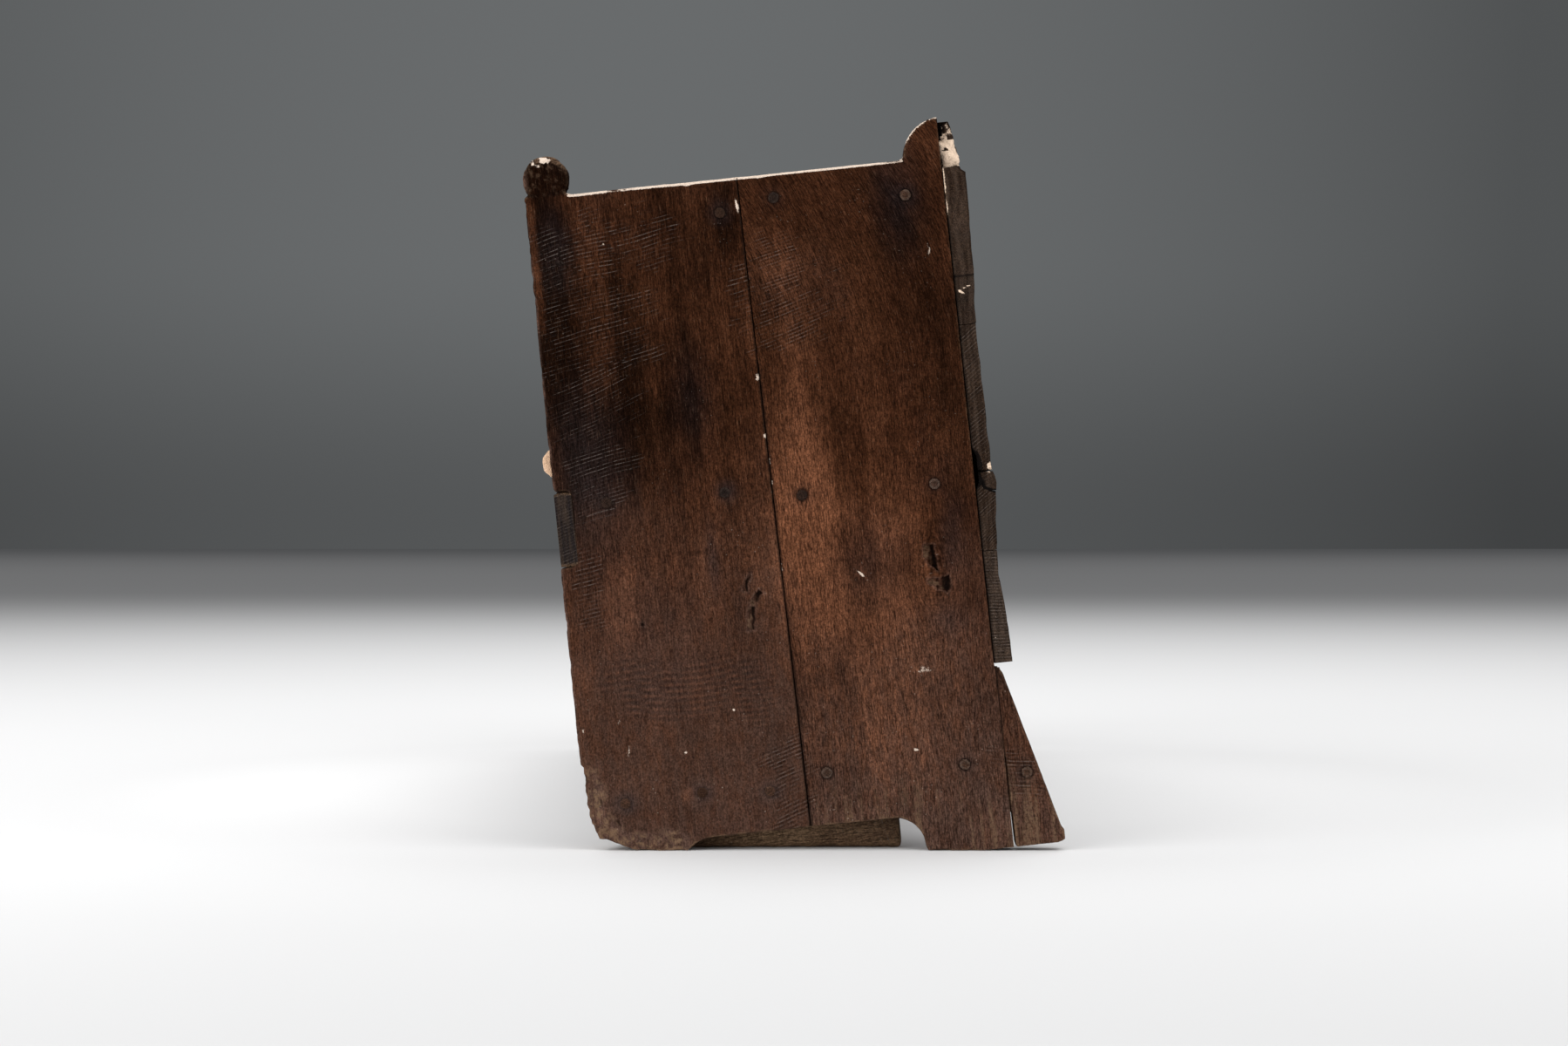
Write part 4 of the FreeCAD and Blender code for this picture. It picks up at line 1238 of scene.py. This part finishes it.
def back_plank(node, seed):
    """One plank of the back."""
    def right_end(middle, normal):
        return middle.x > OUTER_X - 45 * MM
    t = Timber(node, (Z, X, Y), 4 * MM, seed, [right_end])
    ends = towards_end(60, 15, np.abs(t.x))
    joint = np.minimum(t.z - t.low[Z], t.high[Z] - t.z) < 5 * MM
    against_end = (t.y < REAR_Y + 4 * MM) * ends
    weather(t, rounding=2, chip=1.2 * MM, wave=0.6 * MM, keen=np.maximum(0.8 * joint, 0.97 * against_end))
    u, v = t.rear_and_up()
    right = towards_end(40, 12, t.x)
    rear = ease(REAR_Y / MM + 4, REAR_Y / MM + 18, u)
    chewed = 1.3 * np.clip(0.4 + t.noise((0.01, 14, 24), 81, 2), 0, 1.2) + 0.3 * t.noise((60, 60, 70), 88, 2)
    t.y -= rear * (MM * right * chewed + rear_wear(t.x, v))
    # Painted shade on the planks' fronts where they meet the end.
    t.add("dirt_and_shade", right * fade(1.0, 2.6, u - REAR_Y / MM))
    if node in ("narrow_back_plank", "middle_back_plank"):
        open_split(t, u, v, right)
    if node == "upper_back_plank":
        hang_corner(t, u, v, right)
    if node == "crest_board":
        break_crest(t, v)
    if node == "split_corner":
        set_corner(t, right)
    if node in ("narrow_back_plank", "split_corner"):
        mark_fracture(t, right)
    if node in ("middle_back_plank", "split_corner"):
        chip = spot(u, v, CHIP, CHIP_RADII) * t.patches(0.8, 110, 78)
        t.add("pale", 1.2 * right * chip)
    end_face, outside = saw_plank(t, u, v)
    ring_pegs(t, "back_nails", Y)
    t.add("pale", 0.55 * right * rear * t.masks["wear_and_highlight"] * t.blots(0.0, 0.6, 40, 86, 2))
    t.add("dry_and_lit", 0.5 * outside * t.patches(0.5, 8, 87, 2))
    t.add("dry_and_lit", (1.2 if node == "lower_back_plank" else 0.1) * end_face)
    t.add("tone", END_TONES.get(node, USUAL_END_TONE) * end_face)
    put_in_place(t, BACK_OAK)


for number, node in enumerate(END_SAWING):
    back_plank(node, 31 + number)


def plain_timber(node, axes, seed, material, dry_and_lit_amount, sunk=0.0):
    """A batten, rail or bearer: sawn, edges knocked, never polished. sunk lowers its underside. Its dry
    amount lightens it: dust on most, and painted light on the foot battens where they show through the
    arches.
    """
    t = Timber(node, axes, 4 * MM, seed)
    height = to_row(t.co)[:, Z]
    t.z -= sunk * fade(8 * MM, 20 * MM, height)
    weather(t, rounding=4, chip=1.3 * MM, wave=0.5 * MM)
    kerfs = t.blots(-0.2, 0.4, 5, 91, 2) * (1 - t.masks["end"])
    t.stroke(0.5 * kerfs, t.co[:, axes[1]] / MM / 8 + 0.03 * t.co[:, axes[0]] / MM)
    t.cut_strokes(0.5 * MM)
    t.add("dry_and_lit", dry_and_lit_amount * t.patches(0.55, 9, 92, 2))
    put_in_place(t, material)


plain_timber("back_batten", (X, Z, Y), 41, BACK_OAK, 0.6)
for number, side in enumerate(("right", "left")):
    for offset, name in enumerate(("top_batten", "seat_bearer", "foot_batten")):
        # The foot battens are painted much lighter: painted light where they show through the arches.
        dry_and_lit_amount, sunk = (1.6, 3 * MM) if name == "foot_batten" else (0.4, 0.0)
        seed = 51 + 3 * number + offset
        plain_timber(f"{side}_{name}", (Z, Y, X), seed, INNER_OAK, dry_and_lit_amount, sunk)
plain_timber("rear_rail", (Z, X, Y), 61, INNER_OAK, 0.55)
plain_timber("middle_bearer", (Z, Y, X), 62, INNER_OAK, 0.55)


def front_rail():
    """The rail under the front of the seat, dark and rubbed by heels, its ends let into the plank ends."""
    t = Timber("front_rail", (Z, X, Y), 4 * MM, 63)
    ends = ease(INNER_X - 5 * MM, INNER_X + 5 * MM, np.abs(t.x))
    weather(t, rounding=4, chip=1.2 * MM, wave=0.6 * MM, keen=0.8 * ends)
    t.stroke(0.7 * t.masks["end"], (t.z - 0.3 * t.y) / (3.6 * MM))
    t.cut_strokes(0.6 * MM)
    t.y -= 2 * MM * ends
    ring_pegs(t, "front_rail_nails", Y)
    rubbed = ease(0.4, 0.9, -t.normals()[:, Y]) * t.patches(0.3, (3, 3, 12), 93, 2)
    t.add("tone", 0.4 * rubbed - 0.8 * ends)
    t.add("stain", 0.75 * t.masks["end"])
    t.masks["end"] *= 0.3
    put_in_place(t, INNER_OAK)


front_rail()


SITTER_WIDTH = 0.5
SAT_DEPTH = 1.6 * MM  # of the hollow under each sitter
NOSE_WORN = (110 * MM, 15 * MM)  # the nose turns pale towards its ends, from the first to the second


def seat_plank(node, seed):
    """A seat plank, worn hollow and paler where people sat."""
    t = Timber(node, (Y, X, Z), 4 * MM, seed)
    weather(t, rounding=4, chip=1.2 * MM, wave=0.5 * MM)
    top = ease(0.5, 0.9, t.normals()[:, Z])
    across = (t.y - REAR_Y / 2) / (REAR_Y / 2)
    sat = top * np.clip(1 - across ** 2, 0, 1) * (0.65 + 0.35 * np.cos(t.x * 2 * math.pi / SITTER_WIDTH))
    t.z -= SAT_DEPTH * sat
    t.add("tone", 0.45 * sat)
    t.add("dry_and_lit", 0.25 * sat * t.patches(0.4, (3, 10, 10), 94, 2))
    nose = fade(-4 * MM, 14 * MM, t.y)
    t.y -= 2 * MM * nose
    t.add("dry_and_lit", 0.6 * nose)
    t.add("wear_and_highlight", 0.8 * nose)
    rubbed_end = np.abs(t.x) + 22 * MM * t.noise(t.along(60, 20), 95, 2)
    t.add("pale", nose * ease(t.high[X] - NOSE_WORN[0], t.high[X] - NOSE_WORN[1], rubbed_end))
    ring_pegs(t, "seat_pegs", Z)
    put_in_place(t, SEAT_OAK)


seat_plank("seat_front_plank", 71)
seat_plank("seat_rear_plank", 72)


# Pegs, dowels and nails

def add_rings(work, rings, axis_middle, frame_axes):
    """Adds a closed solid that bridges rings of (along, [(a, b), ...]) round an axis."""
    along_axis, a_axis, b_axis = frame_axes
    made = []
    for along, outline in rings:
        row = []
        for a, b in outline:
            place = [0.0, 0.0, 0.0]
            place[along_axis] = along
            place[a_axis] = axis_middle[a_axis] + a
            place[b_axis] = axis_middle[b_axis] + b
            row.append(work.verts.new(place))
        made.append(row)
    count = len(made[0])
    for low, high in zip(made, made[1:]):
        for k in range(count):
            work.faces.new((low[k], low[(k + 1) % count], high[(k + 1) % count], high[k]))
    work.faces.new(made[0])
    work.faces.new(made[-1])


def ring(along, radii, angles):
    """A ring at a place along the axis, with a radius for each angle."""
    return along, list(zip(radii * np.cos(angles), radii * np.sin(angles)))


def finish_fasteners(work, node, axis, material, tints=None):
    """Turns the built fasteners into a piece with masks for their material."""
    bmesh.ops.recalc_face_normals(work, faces=work.faces)
    mesh = bpy.data.meshes.new(node + "_made")
    work.to_mesh(mesh)
    work.free()
    co = points_of(mesh)
    across = [k for k in range(3) if k != axis]
    write_looks(mesh, tints or {}, co[:, [across[0], axis, across[1]]])
    mesh.vertices.foreach_set("co", to_row(co).astype(np.float32).ravel())
    mesh.shade_flat()
    mesh.update()
    stand_for(mesh, node, material)


def whittled(node, axis, seed):
    """Cleft pegs: not quite round, with a worn, uneven top at each end."""
    draw = np.random.default_rng(seed)
    work = bmesh.new()
    tints = {"tone": [], "wear_and_highlight": [], "stain": []}
    a_axis, b_axis = [k for k in range(3) if k != axis]
    for points in SOLIDS[node]:
        low, high = points.min(0), points.max(0)
        middle = (low + high) / 2
        radius = np.ptp(points[:, a_axis]) / 2
        facets = int(draw.choice((8, 10, 16)))
        angles = np.arange(facets) * 2 * math.pi / facets + draw.uniform(0, 1)
        uneven = 1 + draw.uniform(-0.07, 0.03, facets)
        foot, top = low[axis], high[axis]
        rings = [ring(along, radius * share * uneven, angles) for along, share in (
            (foot, 0.45), (foot + 0.15 * MM, 0.82), (foot + 1.0 * MM, 1.0),
            (top - 1.0 * MM, 1.0), (top - 0.15 * MM, 0.82), (top, 0.45),
        )]
        add_rings(work, rings, middle, (axis, a_axis, b_axis))
        count = facets * len(rings)
        pale = is_among(middle, RUBBED_PEGS)
        lighter = pale or (is_among(middle, FAINT_PEGS) and middle[Z] < 0.2)
        tints["tone"] += [draw.uniform(0.2, 0.5) if lighter else draw.uniform(-0.5, 0.0)] * count
        rubbed = draw.uniform(0.6, 0.9) if pale else draw.uniform(0.0, 0.2)
        for share in (0.1, 0.7, 0.5, 0.5, 0.7, 0.1):
            tints["wear_and_highlight"] += [share * rubbed] * facets
        tints["stain"] += [draw.uniform(0.0, 0.25)] * count
    finish_fasteners(work, node, axis, PEG_OAK, tints)


for number, (node, axis) in enumerate((
    ("right_end_pegs", X), ("left_end_pegs", X), ("right_end_dowels", Y), ("left_end_dowels", Y),
    ("seat_pegs", Z), ("seat_dowels", Y),
)):
    whittled(node, axis, 101 + number)


def forged_nails(node, seed):
    """Square tapering shanks under hammered rose heads."""
    draw = np.random.default_rng(seed)
    work = bmesh.new()
    extents = np.ptp(SOLIDS[node][0], axis=0)
    axis = int(np.argmax(extents))
    a_axis, b_axis = [k for k in range(3) if k != axis]
    for points in SOLIDS[node]:
        middle = (points.min(0) + points.max(0)) / 2
        if node == "back_nails":
            sunk = 3 * MM * towards_end(60, 30, middle[X])
            points = points - [0, sunk + rear_wear(middle[X], middle[Z] / MM), 0]
        low, high = points.min(0), points.max(0)
        middle = (low + high) / 2
        head = np.ptp(points[:, a_axis]) / 2
        off = np.linalg.norm((points - middle)[:, [a_axis, b_axis]], axis=1)
        rim = points[off > 0.9 * head, axis].mean()
        way = 1.0 if rim > middle[axis] else -1.0
        tip = low[axis] if way > 0 else high[axis]
        top = high[axis] if way > 0 else low[axis]
        angles = np.arange(8) * math.pi / 4 + draw.uniform(0, 1)
        square = np.array([1.0, 1.3] * 4)
        rings = []
        for along, radius, shape in (
            (tip, 0.6 * MM, square), (rim - way * 0.4 * MM, 1.9 * MM, square), (rim, head * 0.96, None),
            (rim + 0.45 * (top - rim), head * 0.72, None), (top, head * 0.3, None),
        ):
            uneven = shape if shape is not None else draw.uniform(0.84, 1.04, 8)
            rings.append(ring(along, radius * uneven, angles))
        add_rings(work, rings, middle, (axis, a_axis, b_axis))
    finish_fasteners(work, node, axis, IRON)


for number, node in enumerate(name for name in FASTENERS if name.endswith("nails")):
    forged_nails(node, 121 + number)


# Stage, light and camera

IMAGE_WIDTH = 1799
IMAGE_HEIGHT = 1200
CAMERA_DISTANCE = 3.5  # from the outer face of the right end
PIXELS_PER_METRE = 1000.0  # on that face
FLOOR_PIXEL = 976.0  # where that face meets the floor
MIDDLE_PIXEL = 910.7  # the bench's own middle, across the picture


def make_camera():
    """A camera square to the right end, set back and shifted to the picture's framing."""
    data = bpy.data.cameras.new("camera")
    data.sensor_width = 36.0
    data.lens = data.sensor_width * CAMERA_DISTANCE * PIXELS_PER_METRE / IMAGE_WIDTH
    camera = add_object("camera", data)
    across = (IMAGE_WIDTH / 2 - MIDDLE_PIXEL) / PIXELS_PER_METRE
    height = (FLOOR_PIXEL - IMAGE_HEIGHT / 2) / PIXELS_PER_METRE
    camera.location = (OUTER_X + CAMERA_DISTANCE, across, height)
    camera.rotation_euler = (math.radians(90), 0, math.radians(90))
    bpy.context.scene.camera = camera


def grey(level):
    return rgb(level, level, level)


def make_floor():
    """A wide pale floor with painted shade, darker far behind the bench and a little darker close to the
    camera, and painted light round the bench to lift its shadow.
    """
    half = 40.0
    mesh = bpy.data.meshes.new("floor")
    corners = [(-half, -half, 0), (half, -half, 0), (half, half, 0), (-half, half, 0)]
    mesh.from_pydata(corners, [], [(0, 1, 2, 3)])
    floor = add_object("floor", mesh)
    g = Graph(bpy.data.materials.new("pale_floor"))
    place = g.node("ShaderNodeTexCoord").outputs["Object"]
    along = g.node("ShaderNodeSeparateXYZ", {"Vector": place}).outputs["X"]
    reach = g.node("ShaderNodeVectorMath", {"Vector": place}, operation="LENGTH").outputs["Value"]
    # Painted shade: the floor's colour falls away far behind the bench and close to the camera.
    colour = g.mix(g.span(along, -half, -16.0), rgb(0.145, 0.149, 0.152), rgb(0.29, 0.292, 0.294))
    colour = g.mix(g.span(along, -12.5, -0.8), colour, grey(0.80))
    colour = g.mix(g.span(along, 0.6, 2.4), colour, grey(0.67))
    # Painted light: paler round the bench, to lift its shadow.
    round_bench = g.mix(g.span(reach, 1.05, 0.55), grey(0.805), grey(0.93))
    colour = g.mix(g.span(reach, 1.6, 0.9), colour, round_bench)
    mesh.materials.append(g.surface({"Base Color": colour, "Roughness": 0.9, "Specular IOR Level": 0.0}))


def make_world():
    """A grey wall where it is seen, with painted light that makes it lighter in its upper middle, and even
    light from all around.
    """
    g = Graph(bpy.data.worlds.new("studio"))
    way = g.node("ShaderNodeTexCoord").outputs["Generated"]
    parts = g.node("ShaderNodeSeparateXYZ", {"Vector": way}).outputs
    # Painted light on the wall: lighter above its foot and in the middle, darker to the sides.
    wall = g.mix(g.span(parts["Z"], 0.0, 0.09), rgb(0.090, 0.094, 0.096), rgb(0.140, 0.147, 0.150))
    aside = g.add(parts["Y"], 0.05)
    links = {"Value": g.times(aside, aside), "From Max": 0.08, "To Min": 1.0, "To Max": 0.58}
    wall = g.scaled(wall, g.node("ShaderNodeMapRange", links).outputs["Result"])
    path = g.node("ShaderNodeLightPath").outputs
    shows = path["Is Camera Ray"]
    for ray in ("Is Glossy Ray", "Is Transmission Ray"):
        shows = g.math("MAXIMUM", shows, path[ray])
    lit_by = rgb(0.54, 0.54, 0.545)
    g.feed(g.tree.nodes["Background"].inputs["Color"], g.mix(shows, lit_by, wall))
    bpy.context.scene.world = g.owner


def area_light(name, place, aim, size, power):
    """A rectangular lamp at a place, turned to what it lights."""
    light = bpy.data.lights.new(name, "AREA")
    light.shape = "RECTANGLE"
    light.size, light.size_y = size
    light.energy = power
    lamp = add_object(name, light)
    lamp.location = place
    lamp.rotation_euler = (Vector(aim) - Vector(place)).to_track_quat("-Z", "Y").to_euler()


make_camera()
make_floor()
make_world()
area_light("key", (3.6, -3.6, 2.0), (0.8, 0.0, 0.4), (3.6, 3.6), 104)
area_light("fill", (2.8, 3.4, 2.2), (0.8, 0.2, 0.5), (3.2, 3.2), 32)
area_light("front", (-0.6, -3.4, 2.4), (-0.2, -0.7, 0.1), (2.4, 2.4), 9)
area_light("overhead", (-2.0, 0.0, 4.2), (-2.0, 0.0, 0.0), (12.0, 7.0), 250)
bpy.context.scene.view_settings.view_transform = "Standard"
